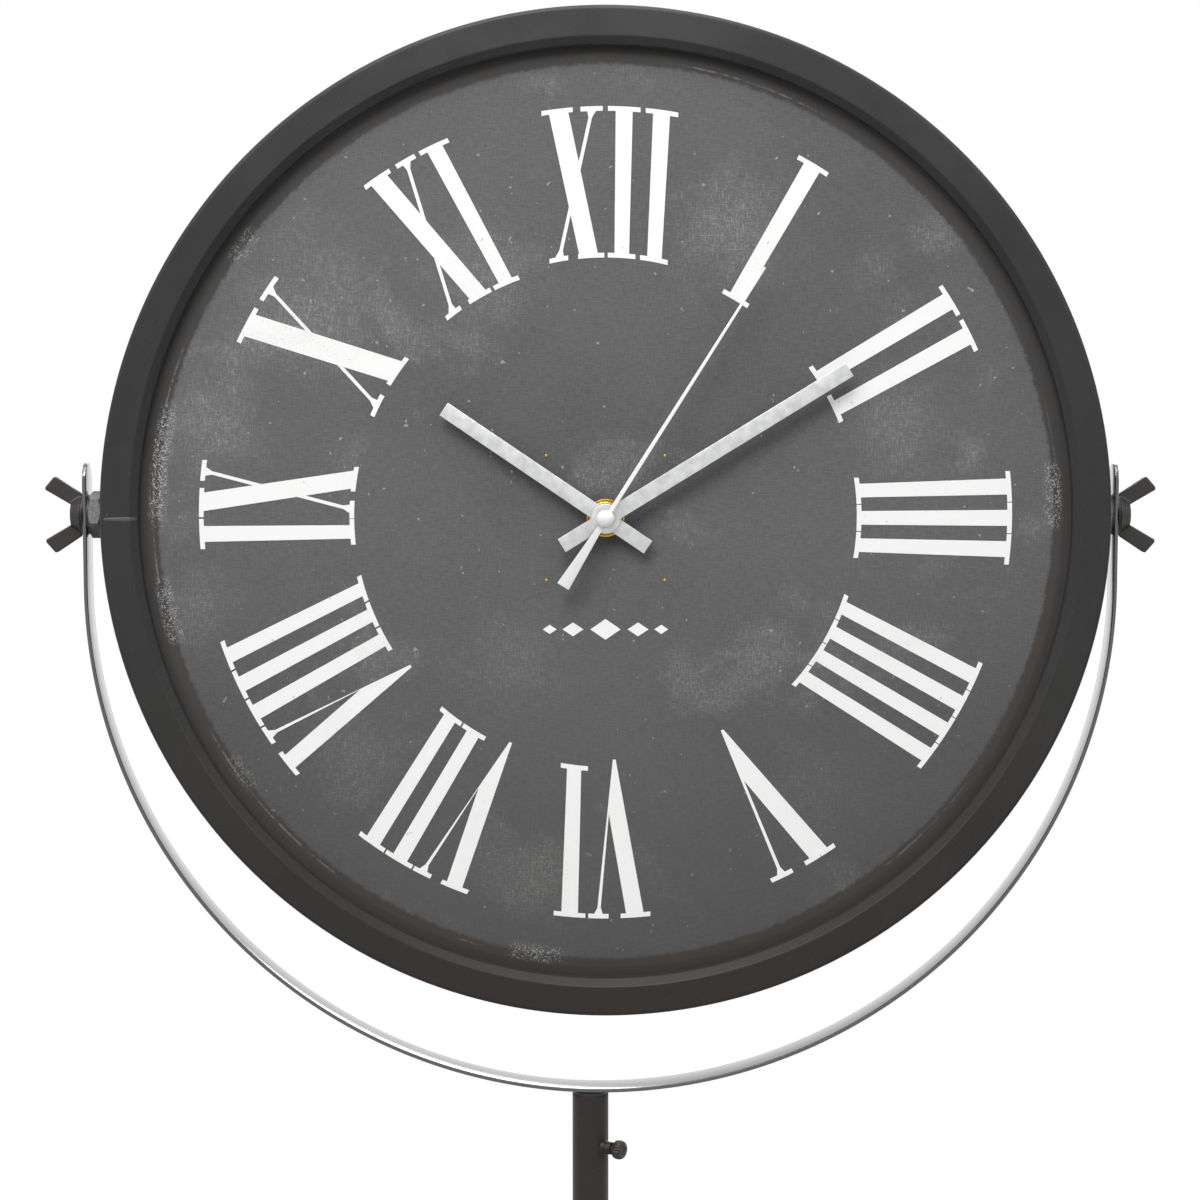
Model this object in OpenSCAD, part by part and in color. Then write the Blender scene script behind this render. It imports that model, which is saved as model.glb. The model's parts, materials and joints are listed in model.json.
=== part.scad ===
// Tripod floor clock: a round steel case that tilts between wing nuts in a strap yoke,
// on a telescoping mast with three folding legs. Millimetres, +Z up, the dial faces -Y.
// The origin is on the floor, in the middle of the whole object's footprint.

/* [Case] */
// Outside diameter of the front rim
rim_d = 431.5; // [412:0.5:432.5]
// Width of the rim's face, from the outside to the dial opening
rim_face_w = 16.2; // [14:0.1:20]
// Rounding of the rim's outside edge
rim_outer_round = 2; // [1.5:0.5:8]
// Width and depth of the bevel around the dial opening
rim_bevel_w = 3.4; // [2:0.2:6]
// Sheet thickness of rim, wall and back cover
sheet_t = 1; // [0.8:0.1:1.4]
// Length of the rim's skirt over the side wall
skirt_l = 12; // [10:0.5:18]
// Play between the rim's skirt and the side wall
skirt_play = 0.8; // [0.6:0.1:1.5]
// Depth of the case, front to back
case_depth = 62; // [60:1:75]
// Distance from the rim's front to the pivot axis
pivot_depth = 33; // [30:0.5:36]
// Width of the flange at the back of the side wall
back_flange_w = 9; // [7:0.5:12]
// Diameter of the opening in the back cover
service_d = 110; // [100:1:130]
// Number of screws in the back cover
cover_screw_count = 6; // [4:1:8]
// Number of clips behind the dial
dial_clip_count = 6; // [4:1:8]

/* [Dial] */
// Depth of the dial's face behind the rim's front
dial_depth = 8; // [7:0.5:24]
// Thickness of the dial board
dial_t = 3; // [2.5:0.1:4]
// How far the board reaches behind the rim's inside wall
dial_lap = 5; // [3:0.5:7]
// Outside radius of the numeral ring
numeral_outer_r = 174.2; // [160:0.2:182]
// Inside radius of the numeral ring
numeral_inner_r = 107.7; // [95:0.2:120]
// Thickness of the serifs, along the radius
serif_t = 2; // [1.4:0.1:2.6]
// Thickness of the printed figures
print_t = 0.15; // [0.1:0.05:0.3]
// Distance of the ornament below the centre
ornament_drop = 48; // [44:1:60]

/* [Hands] */
// Length of the hour hand from the centre
hour_hand_l = 83.2; // [70:1:95]
// Length of the minute hand from the centre
minute_hand_l = 121.4; // [110:0.5:150]
// Length of the second hand from the centre
second_hand_l = 125.9; // [110:1:150]
// Length of the tails of the hour and minute hands
hand_tail_l = 22; // [15:0.5:28]
// Length of the second hand's tail
second_tail_l = 34; // [25:0.5:40]
// Width of the hour and minute hands
hand_w = 6.5; // [5:0.1:8]
// Width of the second hand's tip
second_tip_w = 1; // [0.8:0.1:1.6]
// Width of the second hand's tail end
second_tail_w = 5.7; // [4:0.1:8]
// Diameter of the round hubs of the two hands
hand_hub_d = 12.6; // [10:0.1:15]
// Sheet thickness of the hands
hand_t = 0.4; // [0.3:0.05:0.5]
// Diameter of the domed cap
cap_d = 7.8; // [6:0.1:9]
// Direction of the hour hand, clockwise from twelve
hour_turn = 304.1; // [0:0.1:360]
// Direction of the minute hand, clockwise from twelve
minute_turn = 58.5; // [0:0.1:360]
// Direction of the second hand, clockwise from twelve
second_turn = 32.3; // [0:0.1:360]

/* [Movement] */
// Width and height of the movement's housing
movement_w = 56; // [56:0.5:60]
// Depth of the housing
movement_depth = 16.5; // [16.5:0.1:18]
// Wall of the housing
movement_wall = 1.2; // [1:0.1:1.5]
// Diameter of the four pins that hold dial and housing together
housing_pin_d = 1.2; // [1:0.1:1.6]
// Diameter of the threaded bush
bush_d = 8; // [7.5:0.1:9]
// Diameter of the hour wheel's tube
hour_tube_d = 5; // [4.6:0.1:5.4]
// Diameter of the cannon pinion's tube
minute_tube_d = 3.2; // [3:0.1:3.4]
// Diameter of the second wheel's arbor
second_arbor_d = 1; // [0.8:0.1:1.2]
// Diameter of the arbors beside the centre
side_arbor_d = 0.8; // [0.6:0.1:0.9]
// Distance from the centre to the minute wheel's arbor
motion_work_distance = 9.5; // [9.5:0.05:9.8]
// Distance from the centre to the third and fifth wheels' arbors
train_distance = 9; // [9:0.05:9.2]
// Distance from the fifth wheel to the rotor
rotor_distance = 8; // [7.8:0.05:8.2]
// Thickness of the toothed wheels
wheel_t = 0.6; // [0.5:0.05:0.7]
// Diameter of the setting knob
knob_d = 14; // [12:0.5:18]
// Diameter of the battery
battery_d = 14.2; // [14:0.1:14.4]
// Length of the battery's body
battery_l = 49; // [48:0.5:49.5]

/* [Pivots] */
// Thread diameter of the pivot bolts
pivot_bolt_d = 6; // [5:0.5:7]
// Distance across the flats of the hex nuts
nut_flats = 18; // [16:0.5:19]
// Thickness of the hex nuts
nut_t = 5.5; // [4:0.1:6]
// Length of the spacer between case and nut, on the side where it is shorter
spacer_l = 0.9; // [0.5:0.1:4]
// Thickness of the nylon washers between nuts and strap
nylon_washer_t = 0.7; // [0.5:0.1:1]
// Thickness of the steel washers under the wing nuts
wing_washer_t = 1.2; // [0.8:0.1:1.6]
// Diameter of all the pivot washers
pivot_washer_d = 17.4; // [16:0.2:19]
// Span of the wing nuts over the wings
wing_span = 33.4; // [30:0.1:36]
// Height of the wing nuts over the wings
wing_h = 16.1; // [14:0.1:17]
// Width of a wing
wing_w = 7.9; // [6:0.1:8.4]
// Thickness of a wing
wing_t = 3; // [2:0.1:4]
// Diameter of the wing nut's foot
wing_foot_d = 16.6; // [14:0.1:17.4]
// Diameter of the wing nut's flat top
wing_top_d = 9; // [8:0.1:12]
// Height of the wing nut's body
wing_body_h = 4.8; // [4:0.1:7]

/* [Yoke] */
// Thickness of the strap
strap_t = 1.7; // [1.5:0.1:2.5]
// Width of the strap
strap_w = 16; // [14:0.5:20]
// Height of the strap's ends above the pivot axis
strap_top_h = 22.6; // [20:0.2:30]
// Height of the straight part below the pivot axis
strap_straight_h = 31; // [26:0.5:40]
// Sideways place of the case in the yoke
case_shift = 2.15; // [-2.5:0.05:2.5]
// Sideways place of the mast under the yoke
mast_shift = -4.45; // [-6:0.05:6]

/* [Mast] */
// Height of the pivot axis above the floor, mast down
pivot_h = 835; // [825:5:900]
// Outside diameter of the inner tube
inner_tube_d = 12; // [11:0.1:12.6]
// Travel of the mast
lift_travel = 250; // [200:5:255]
// Length of inner tube that stays in the outer tube at full height
tube_overlap = 80; // [60:5:85]
// Outside diameter of the outer tube
outer_tube_d = 16; // [15.6:0.1:17]
// Wall of both tubes
tube_wall = 1.2; // [1:0.05:1.2]
// Free room between the inner tube's guide and the end cap, mast down
tube_end_room = 7; // [2:0.5:30]
// Length of the guide bush inside the tube
guide_l = 18; // [12:0.5:19]
// Thickness of the guide bush's rim
guide_rim_t = 1.5; // [1:0.1:2.5]
// Distance of the lock screw below the tube's mouth
lock_drop = 23.6; // [22.5:0.1:30]
// Direction of the lock screw, from the front towards the right
lock_turn = 55; // [0:1:90]
// Diameter of the screw boss
boss_d = 5.6; // [5.4:0.1:8]
// Length of the screw boss
boss_l = 4; // [3:0.1:7]
// Diameter of the lock screw's head
lock_head_d = 8.4; // [8:0.1:12]
// Thickness of the lock screw's head
lock_head_t = 4.4; // [3:0.1:6]
// Length of the lock screw between boss and head
lock_neck_l = 1.4; // [0.5:0.1:3]
// Thread diameter of the lock screw
lock_screw_d = 4; // [3:0.1:4.4]

/* [Tripod] */
// Height of the leg pivots above the floor
leg_pivot_h = 430; // [400:5:450]
// Distance of the leg pivots from the mast's axis
leg_pivot_r = 22; // [21.5:0.1:24]
// Angle of the open legs from the vertical
leg_spread = 28; // [24:0.5:28.5]
// Outside diameter of the legs
leg_d = 12; // [10:0.1:12.4]
// Outside diameter of the hub
hub_d = 30; // [28:0.5:30.4]
// Height of the hub
hub_h = 46; // [40:1:60]
// Thickness of the leg's eye
eye_t = 8; // [6:0.1:9]
// Thickness of each fork ear
ear_t = 3; // [2:0.1:4]
// Diameter of the leg bolts
leg_bolt_d = 5; // [4:0.1:5.5]
// Radius of the rubber feet
foot_r = 9; // [8.5:0.1:11]
// Height of a foot's centre above the floor
foot_centre_h = 6.5; // [5:0.1:7]

/* [Hidden] */

$fn = 96;
fit = 0.05;          // radial play of bores on shafts and tubes
gap = 0.3;           // clearance between pieces that move past each other
bite = 0.5;          // how far the parts of one solid reach into each other
far = 1000;          // longer than anything here

black_paint = [0.17, 0.165, 0.16];
rim_paint = [0.25, 0.25, 0.25];
dial_grey = [0.38, 0.38, 0.38];
print_white = [0.93, 0.93, 0.92];
silver = [0.82, 0.83, 0.83];
brass = [0.80, 0.63, 0.25];
zinc = [0.55, 0.55, 0.54];
nylon_black = [0.10, 0.10, 0.10];
gear_plastic = [0.85, 0.82, 0.70];

// Legs stand at the back and at both sides of the front, so the footprint's middle lies behind the mast.
LEG_TURNS = [210, 330, 90];
leg_length = (leg_pivot_h - foot_centre_h) / cos(leg_spread);
foot_reach = leg_pivot_r + leg_length * sin(leg_spread);
mast_y = foot_reach * (sin(LEG_TURNS[0]) + 1) / -2;
mast_at = [mast_shift, mast_y, 0];

front_y = mast_y - pivot_depth;       // plane of the rim's front
head_at = [case_shift, front_y, pivot_h];
rim_r = rim_d / 2;
opening_r = rim_r - rim_face_w;
wall_r = rim_r - sheet_t - skirt_play;
wall_inner_r = wall_r - sheet_t;
dial_r = opening_r + dial_lap;
dial_back = dial_depth + dial_t;
cover_r = wall_r - 2;
back_y = case_depth - sheet_t;        // depth of the flange's outer face

// The yoke's inside width: case, sideways shift, spacer, nut and washer, with their plays
yoke_inside_w = 2 * (wall_r + abs(case_shift) + spacer_l + nut_t + nylon_washer_t + 2 * fit);
strap_mid_r = (yoke_inside_w + strap_t) / 2;
strap_out_x = yoke_inside_w / 2 + strap_t;
yoke_foot_h = pivot_h - strap_straight_h - strap_mid_r - strap_t / 2;

// A depth behind the rim's front, a shape drawn as seen from the front, and a thickness
module slab(depth, t) translate([0, depth + t, 0]) rotate([90, 0, 0]) linear_extrude(t) children();

module at_head() translate(head_at) children();
module at_mast() translate(mast_at) children();
module at_pivot() translate([0, mast_y, pivot_h]) children();

module ring2(outer_r, inner_r) difference() {
    circle(outer_r);
    circle(inner_r);
}

// A round piece around the head's axis, from one depth to another
module disc(depth, t, r, at = [0, 0]) slab(depth, t) translate(at) circle(r);
module tube(depth, t, outer_r, inner_r, at = [0, 0]) slab(depth, t) translate(at) ring2(outer_r, inner_r);

// A profile of [radius, depth] points spun around the head's axis
module spun() rotate([-90, 0, 0]) rotate_extrude($fn = 180) children();

module rounded_square(w, h, r) union() {
    translate([r, 0]) square([w - 2 * r, h]);
    translate([0, r]) square([w, h - 2 * r]);
    for (x = [r, w - r], y = [r, h - r]) translate([x, y]) circle(r, $fn = 32);
}

// Case

// Outline of the rim's section: outside corner rounded, inside corner bevelled, open at the back
module rim_section(inset) {
    outer = rim_r - inset;
    inner = opening_r + inset;
    outer_round = rim_outer_round - inset;
    bevel = rim_bevel_w + inset * (sqrt(2) - 1);
    depth = max(dial_depth, skirt_l) + 1;
    union() {
        polygon([
            [inner + rim_bevel_w + inset * (sqrt(2) - 2), inset], [outer - outer_round, inset],
            [outer - outer_round, depth], [inner, depth], [inner, bevel]
        ]);
        translate([outer - outer_round - bite, inset + outer_round])
            square([outer_round + bite, depth - inset - outer_round]);
        translate([outer - outer_round, inset + outer_round]) circle(outer_round);
    }
}

module case_rim() {
    color(rim_paint) at_head() spun() difference() {
        rim_section(0);
        rim_section(sheet_t);
        translate([0, dial_depth]) square([opening_r + sheet_t + bite, far]);
        translate([opening_r + sheet_t, skirt_l]) square([far, far]);
    }
}

module case_wall() {
    wall_start = rim_outer_round + sheet_t;
    color(rim_paint) difference() {
        at_head() spun() {
            translate([wall_inner_r, wall_start]) square([sheet_t, back_y - wall_start]);
            translate([wall_inner_r, wall_start]) square([sheet_t + skirt_play - fit / 2, sheet_t]);
            translate([wall_r - back_flange_w, back_y - sheet_t]) square([back_flange_w, sheet_t]);
        }
        for (side = SIDES) outward(side, 0, far) circle(pivot_bore_r);
        at_head() slab(back_y - 3, 5) around(cover_screw_count, cover_screw_r, 30)
            circle(cover_screw_d / 2 + fit);
    }
}

cover_screw_r = wall_r - back_flange_w / 2 - 0.5;
cover_screw_d = 3;

module around(count, r, start = 0)
    for (i = [0 : count - 1]) rotate(start + i * 360 / count) translate([r, 0]) children();

module back_cover() {
    color(rim_paint) at_head() slab(back_y, sheet_t) difference() {
        circle(cover_r);
        circle(service_d / 2);
        around(cover_screw_count, cover_screw_r, 30) circle(cover_screw_d / 2 + 0.2);
    }
    color(rim_paint) at_head() tube(back_y - 3, 3 + bite, service_d / 2 + sheet_t, service_d / 2);
}

module cover_screws() {
    head_r = 2.8;
    head_t = 1.6;
    color(zinc) at_head() rotate([-90, 0, 0]) mirror([0, 1, 0])
        around(cover_screw_count, cover_screw_r, 30) {
            translate([0, 0, back_y + sheet_t]) difference() {
                cylinder(h = head_t, r = head_r);
                translate([-far / 2, -0.4, head_t - 0.7]) cube([far, 0.8, far]);
            }
            translate([0, 0, back_y - 3]) cylinder(h = sheet_t + 3 + bite, r = cover_screw_d / 2);
        }
}

module dial_board() {
    color(dial_grey) at_head() difference() {
        slab(dial_depth, dial_t) ring2(dial_r, bush_d / 2 + 0.15);
        at_housing_pins(dial_depth - 1, dial_t + 2, fit);
    }
}

module dial_clips() {
    foot_l = 12;
    clip_w = 14;
    inner = dial_r - 8;
    color(zinc) at_head() for (i = [0 : dial_clip_count - 1]) rotate([0, 30 + i * 360 / dial_clip_count, 0]) {
        translate([inner, dial_back, -clip_w / 2]) cube([wall_inner_r - 0.4 - inner, sheet_t, clip_w]);
        intersection() {
            translate([wall_inner_r - 2.4, dial_back, -clip_w / 2]) cube([3, foot_l, clip_w]);
            translate([0, -bite, 0]) rotate([-90, 0, 0]) cylinder(h = far, r = wall_inner_r - fit, $fn = 180);
        }
    }
}

// Numerals, drawn as seen at twelve: x along the rim, y along the radius

// Widths at the outer and inner edge of the ring, for one unit of letter size
STEM = [6.9, 5.8];
STEM_SERIF = [13.1, 11.2];
V_LEFT_SERIF = 12.3;
V_GAP = 5;
V_RIGHT_SERIF = 8.4;
V_TIP = 14.4;
X_LEFT_SERIFS = [12.6, 7.6];
X_GAPS = [3.1, 4];
X_RIGHT_SERIFS = [9, 10.6];
X_STROKE = [8, 7.6];
HAIRLINE = 1.5;
LEAN = 0.86;     // the letters run together towards the centre by this much

// Letters, letter size, space between the serifs, shift past the hour and how far above the ring's inner
// edge the foot ends, the last three in millimetres
NUMERALS = [
    ["I", 1.12, 0, 1.4, 0], ["II", 1.11, 2.4, 1.5, 0], ["III", 1, 0.4, 0, 0], ["IIII", 0.98, 0.4, -0.5, 0],
    ["V", 1.23, 0, 0.75, 0], ["VI", 1.05, 1.3, 1.5, 0], ["VII", 1, 0.8, -2.9, 0], ["VIII", 0.98, 0.8, 3.4, 0],
    ["IX", 0.99, 0.8, 5.7, 0], ["X", 1.3, 0, 2.7, 0], ["XI", 1.02, 2.2, 2, 0], ["XII", 1.05, 2.2, 1.8, 3]
];
OUTER = 0;
INNER = 1;

v_width = V_LEFT_SERIF + V_GAP + V_RIGHT_SERIF;
function x_width(edge) = X_LEFT_SERIFS[edge] + X_GAPS[edge] + X_RIGHT_SERIFS[edge];
function letter_width(letter) = letter == "I" ? STEM_SERIF[OUTER] : letter == "X" ? x_width(OUTER) : v_width;
// Distance from the numeral's left end to a letter's left end, at the outer edge
function letter_start(word, i, size, space) =
    i == 0 ? 0 : letter_start(word, i - 1, size, space) + letter_width(word[i - 1]) * size + space;
function word_width(word, size, space) = letter_start(word, len(word), size, space) - space;

// A bar of the serif's thickness along the ring's outer or inner edge
module serif(x, w, edge, foot = 0) {
    edge_r = edge == OUTER ? numeral_outer_r - serif_t : numeral_inner_r + foot;
    intersection() {
        ring2(edge_r + serif_t, edge_r);
        translate([x, edge_r / 2]) square([w, edge_r]);
    }
}

// A straight stroke from the outer to the inner edge of the ring, with its width at each
module stroke(x_outer, w_outer, x_inner, w_inner, foot = 0) {
    intersection() {
        polygon([
            [x_inner - w_inner / 2, numeral_inner_r - serif_t], [x_inner + w_inner / 2, numeral_inner_r - serif_t],
            [x_outer + w_outer / 2, numeral_outer_r], [x_outer - w_outer / 2, numeral_outer_r]
        ]);
        ring2(numeral_outer_r - serif_t / 2, numeral_inner_r + serif_t / 2 + foot);
    }
}

function height_at(r, x) = sqrt(r * r - x * x);

// A small wedge that joins a hairline to its serif; x is where the hairline starts, slope its sideways run
module bracket(x, slope, edge, foot = 0) {
    inward = edge == OUTER ? -1 : 1;
    start_y = edge == OUTER ? numeral_outer_r : numeral_inner_r - serif_t;
    edge_r = (edge == OUTER ? numeral_outer_r : numeral_inner_r + foot) + inward * serif_t * 0.8;
    half_base = 2;
    half_tip = 0.7;
    tall = 3.2;
    middle = x + slope * (height_at(edge_r, x) - start_y);
    polygon([
        for (dx = [-inward * half_base, inward * half_base]) [middle + dx, height_at(edge_r, middle + dx)],
        for (dx = [half_tip, -half_tip])
            [middle + inward * (slope * tall + dx), height_at(edge_r, middle) + inward * tall]
    ]);
}

module letter_i(middle, size, foot) {
    widths = STEM_SERIF * size;
    serif(middle - widths[OUTER] / 2, widths[OUTER], OUTER);
    serif(middle * LEAN - widths[INNER] / 2, widths[INNER], INNER, foot);
    stroke(middle, STEM[OUTER] * size, middle * LEAN, STEM[INNER] * size, foot);
}

module letter_v(middle, size) {
    x0 = middle - v_width * size / 2;
    right = x0 + (V_LEFT_SERIF + V_GAP) * size;
    thick = x0 + V_LEFT_SERIF * size * 0.49;
    thin = right + V_RIGHT_SERIF * size * 0.52;
    tip = (x0 + V_TIP * size) * LEAN;
    tip_r = numeral_inner_r - serif_t - 1.2;
    stem = 7.3 * size;
    serif(x0, V_LEFT_SERIF * size, OUTER);
    serif(right, V_RIGHT_SERIF * size, OUTER);
    intersection() {
        polygon([
            [tip - 0.6, tip_r], [tip + 0.6, tip_r], [thin + HAIRLINE / 2, numeral_outer_r],
            [thin - HAIRLINE / 2, numeral_outer_r], [tip + 2.2 * size, tip_r + 24],
            [thick + stem / 2, numeral_outer_r], [thick - stem / 2, numeral_outer_r]
        ]);
        circle(numeral_outer_r - serif_t / 2);
    }
    bracket(thin, (thin - tip) / (numeral_outer_r - tip_r), OUTER);
}

module letter_x(middle, size, foot) {
    x0 = middle - x_width(OUTER) * size / 2;
    x1 = middle * LEAN - x_width(INNER) * size / 2;
    right0 = x0 + (X_LEFT_SERIFS[OUTER] + X_GAPS[OUTER]) * size;
    right1 = x1 + (X_LEFT_SERIFS[INNER] + X_GAPS[INNER]) * size;
    thin0 = right0 + X_RIGHT_SERIFS[OUTER] * size * 0.55;
    thin1 = x1 + X_LEFT_SERIFS[INNER] * size * 0.4;
    serif(x0, X_LEFT_SERIFS[OUTER] * size, OUTER);
    serif(right0, X_RIGHT_SERIFS[OUTER] * size, OUTER);
    serif(x1, X_LEFT_SERIFS[INNER] * size, INNER, foot);
    serif(right1, X_RIGHT_SERIFS[INNER] * size, INNER, foot);
    stroke(x0 + X_LEFT_SERIFS[OUTER] * size * 0.5, X_STROKE[OUTER] * size,
        right1 + X_RIGHT_SERIFS[INNER] * size * 0.52, X_STROKE[INNER] * size, foot);
    stroke(thin0, HAIRLINE, thin1, HAIRLINE, foot);
    slope = (thin0 - thin1) / (numeral_outer_r - numeral_inner_r + serif_t);
    bracket(thin0, slope, OUTER);
    bracket(thin1, slope, INNER, foot);
}

module numeral(hour) {
    word = NUMERALS[hour - 1][0];
    size = NUMERALS[hour - 1][1];
    space = NUMERALS[hour - 1][2];
    left = NUMERALS[hour - 1][3] - word_width(word, size, space) / 2;
    foot = NUMERALS[hour - 1][4];
    rotate(-30 * hour) for (i = [0 : len(word) - 1]) {
        middle = left + letter_start(word, i, size, space) + letter_width(word[i]) * size / 2;
        if (word[i] == "I") letter_i(middle, size, foot);
        if (word[i] == "V") letter_v(middle, size);
        if (word[i] == "X") letter_x(middle, size, foot);
    }
}

module dial_numerals() {
    color(print_white) at_head() slab(dial_depth - print_t, print_t)
        for (hour = [1 : 12]) numeral(hour);
}

// A plain row of lozenges that get smaller to both sides
module lozenge(w, h) polygon([[-w / 2, 0], [0, -h / 2], [w / 2, 0], [0, h / 2]]);

module dial_ornament() {
    color(print_white) at_head() slab(dial_depth - print_t, print_t) translate([0, -ornament_drop]) {
        lozenge(13, 9);
        for (side = [-1, 1]) {
            translate([side * 14, 0]) lozenge(9, 6);
            translate([side * 24, 0]) lozenge(6, 4);
        }
    }
}

// Movement: toothed wheels

PINION_TOOTH = [0.65, 1.45, 0.22, 0.40, 0.50];
WHEEL_TOOTH = [1.15, 0.95, 0.12, 0.44, 0.60];

// A toothed outline: addendum and dedendum in modules, then the tooth's share of the pitch at tip, pitch and root
module toothed(teeth, module_size, form) {
    pitch_r = teeth * module_size / 2;
    root_r = pitch_r - form[1] * module_size;
    tip_r = pitch_r + form[0] * module_size;
    half = 180 / teeth;
    polygon([
        for (i = [0 : teeth - 1])
            for (corner = [[root_r, -form[4]], [pitch_r, -form[3]], [tip_r, -form[2]],
                           [tip_r, form[2]], [pitch_r, form[3]], [root_r, form[4]]])
                let (a = i * 2 * half + corner[1] * half) corner[0] * [cos(a), sin(a)]
    ]);
}

// Turn of a wheel that meshes with one that lies in direction d from it and is turned by t
function mesh_turn(d, t, teeth, meshed_teeth) =
    d + 180 - 180 / meshed_teeth + (d - t) * teeth / meshed_teeth;

rotor_leaves = 6;
fifth_teeth = 36;
fifth_leaves = 6;
second_teeth = 30;
second_leaves = 6;
third_teeth = 45;
third_leaves = 6;
centre_teeth = 48;
cannon_leaves = 12;
minute_teeth = 36;
minute_leaves = 10;
hour_teeth = 40;

FIFTH_DIRECTION = 0;
THIRD_DIRECTION = 180;
MINUTE_DIRECTION = 90;
ROTOR_DIRECTION = 55;
function polar(r, a) = [r * cos(a), r * sin(a)];
centre_at = [0, 0];
fifth_at = polar(train_distance, FIFTH_DIRECTION);
third_at = polar(train_distance, THIRD_DIRECTION);
minute_at = polar(motion_work_distance, MINUTE_DIRECTION);
rotor_at = fifth_at + polar(rotor_distance, ROTOR_DIRECTION);

function module_of(distance, a, b) = 2 * distance / (a + b);
cannon_module = module_of(motion_work_distance, cannon_leaves, minute_teeth);
hour_module = module_of(motion_work_distance, minute_leaves, hour_teeth);
centre_module = module_of(train_distance, third_leaves, centre_teeth);
third_module = module_of(train_distance, second_leaves, third_teeth);
second_module = module_of(train_distance, fifth_leaves, second_teeth);
fifth_module = module_of(rotor_distance, rotor_leaves, fifth_teeth);

cannon_turn = 0;
minute_wheel_turn = mesh_turn(MINUTE_DIRECTION, cannon_turn, cannon_leaves, minute_teeth);
hour_wheel_turn = mesh_turn(MINUTE_DIRECTION + 180, minute_wheel_turn, minute_leaves, hour_teeth);
second_wheel_turn = 0;
third_wheel_turn = mesh_turn(THIRD_DIRECTION, second_wheel_turn, second_leaves, third_teeth);
centre_wheel_turn = mesh_turn(THIRD_DIRECTION + 180, third_wheel_turn, third_leaves, centre_teeth);
fifth_wheel_turn = mesh_turn(FIFTH_DIRECTION, second_wheel_turn, second_teeth, fifth_leaves);
rotor_turn = mesh_turn(ROTOR_DIRECTION, fifth_wheel_turn, fifth_teeth, rotor_leaves);

// Depths inside the movement, from its front face
case_front = dial_back + 1;                       // the rubber washer lies between board and housing
plate_inside = case_front + movement_wall;
cover_front = case_front + movement_depth - movement_wall;
hour_layer = plate_inside + 0.5;
minute_layer = hour_layer + 1.5;
centre_layer = minute_layer + 1.4;
third_layer = centre_layer + 1.7;
second_layer = third_layer + 1.3;
fifth_layer = second_layer + 1.4;
rotor_layer = fifth_layer + 1.3;
board_layer = rotor_layer + 2.3;

half_w = movement_w / 2;
bay_top = -10;                                    // underside of the housing's floor over the battery
battery_at = [0, bay_top - movement_wall - 0.2 - battery_d / 2];
battery_depth = case_front + movement_wall + 0.2 + battery_d / 2;
COIL_AT = [13.5, 19];
coil_r = 3.6;
coil_l = 15;
core_w = 3;
stator_hole_r = 3.6;
BOARD_CORNER = [-26, 4];
BOARD_SIZE = [24, 21];

module wheel_blank(layer, t, teeth, module_size, form, turn, at)
    slab(layer, t) translate(at) rotate(turn) toothed(teeth, module_size, form);

// The pins sit near the housing's corners, over its side walls
HOUSING_PIN_IN = [2.6, 1.3];
module at_housing_pins(depth, t, play)
    for (x = SIDES, z = SIDES)
        disc(depth, t, housing_pin_d / 2 + play, [x * (half_w - HOUSING_PIN_IN[0]), z * (half_w - HOUSING_PIN_IN[1])]);

module housing_pins() {
    proud = 0.4;
    color(brass) at_head() at_housing_pins(dial_depth - proud, proud + plate_inside - 0.3 - dial_depth, 0);
}

module movement_case() {
    inner_w = movement_w - 2 * movement_wall;
    color(nylon_black) at_head() {
        difference() {
            slab(case_front, movement_depth - movement_wall) translate([-half_w, -half_w])
                rounded_square(movement_w, movement_w, 3);
            slab(plate_inside, far) translate([movement_wall - half_w, bay_top])
                square([inner_w, half_w - movement_wall - bay_top]);
            slab(plate_inside, far) translate([movement_wall - half_w, movement_wall - half_w])
                square([inner_w, half_w - 2 * movement_wall + bay_top]);
            disc(case_front - 1, far, bush_d / 2 + 0.02);
            at_housing_pins(case_front - 1, plate_inside - case_front + 0.75, fit / 2);
            for (at = [fifth_at, third_at, rotor_at, minute_at])
                disc(plate_inside - 0.8, far, side_arbor_d / 2 + fit, at);
        }
        for (x = [BOARD_CORNER[0] + 2, BOARD_CORNER[0] + BOARD_SIZE[0] - 2])
            disc(plate_inside - bite, board_layer - plate_inside + bite, 1.2, [x, BOARD_CORNER[1] + BOARD_SIZE[1] - 2]);
        for (x = [stator_left + core_w / 2, stator_right - core_w / 2])
            disc(plate_inside - bite, rotor_layer + 0.5 - plate_inside + bite, 1.3, [x, COIL_AT[1]]);
    }
}

module movement_cover() {
    cover_h = half_w - bay_top + movement_wall;
    color(nylon_black) at_head() difference() {
        union() {
            slab(cover_front, movement_wall) translate([-half_w, bay_top - movement_wall])
                rounded_square(movement_w, cover_h, 2);
            for (at = [fifth_at, third_at, rotor_at])
                disc(cover_front - 2, 2 + bite, 1.4, at);
            disc(cover_front - 4, 4 + bite, 1.6);
        }
        disc(cover_front - far / 2, far, minute_stem_d / 2 + fit, minute_at);
        disc(cover_front - 5, 5.6, second_arbor_d / 2 + fit);
        for (at = [fifth_at, third_at, rotor_at])
            disc(cover_front - 3, 3.6, side_arbor_d / 2 + fit, at);
    }
}

minute_stem_d = 2;
bush_front = dial_depth - 3.2;
nut_face = dial_depth - 0.5 - 1.8;
hour_hand_depth = bush_front - 1.4;
minute_hand_depth = hour_hand_depth - 2.2;
second_hand_depth = minute_hand_depth - 2.2;

module movement_bush() {
    color(brass) at_head() tube(bush_front, plate_inside - bush_front, bush_d / 2, hour_tube_d / 2 + fit);
}

module movement_gasket() {
    color(nylon_black) at_head() tube(dial_back, case_front - dial_back, 10, bush_d / 2 + 0.1);
}

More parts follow.
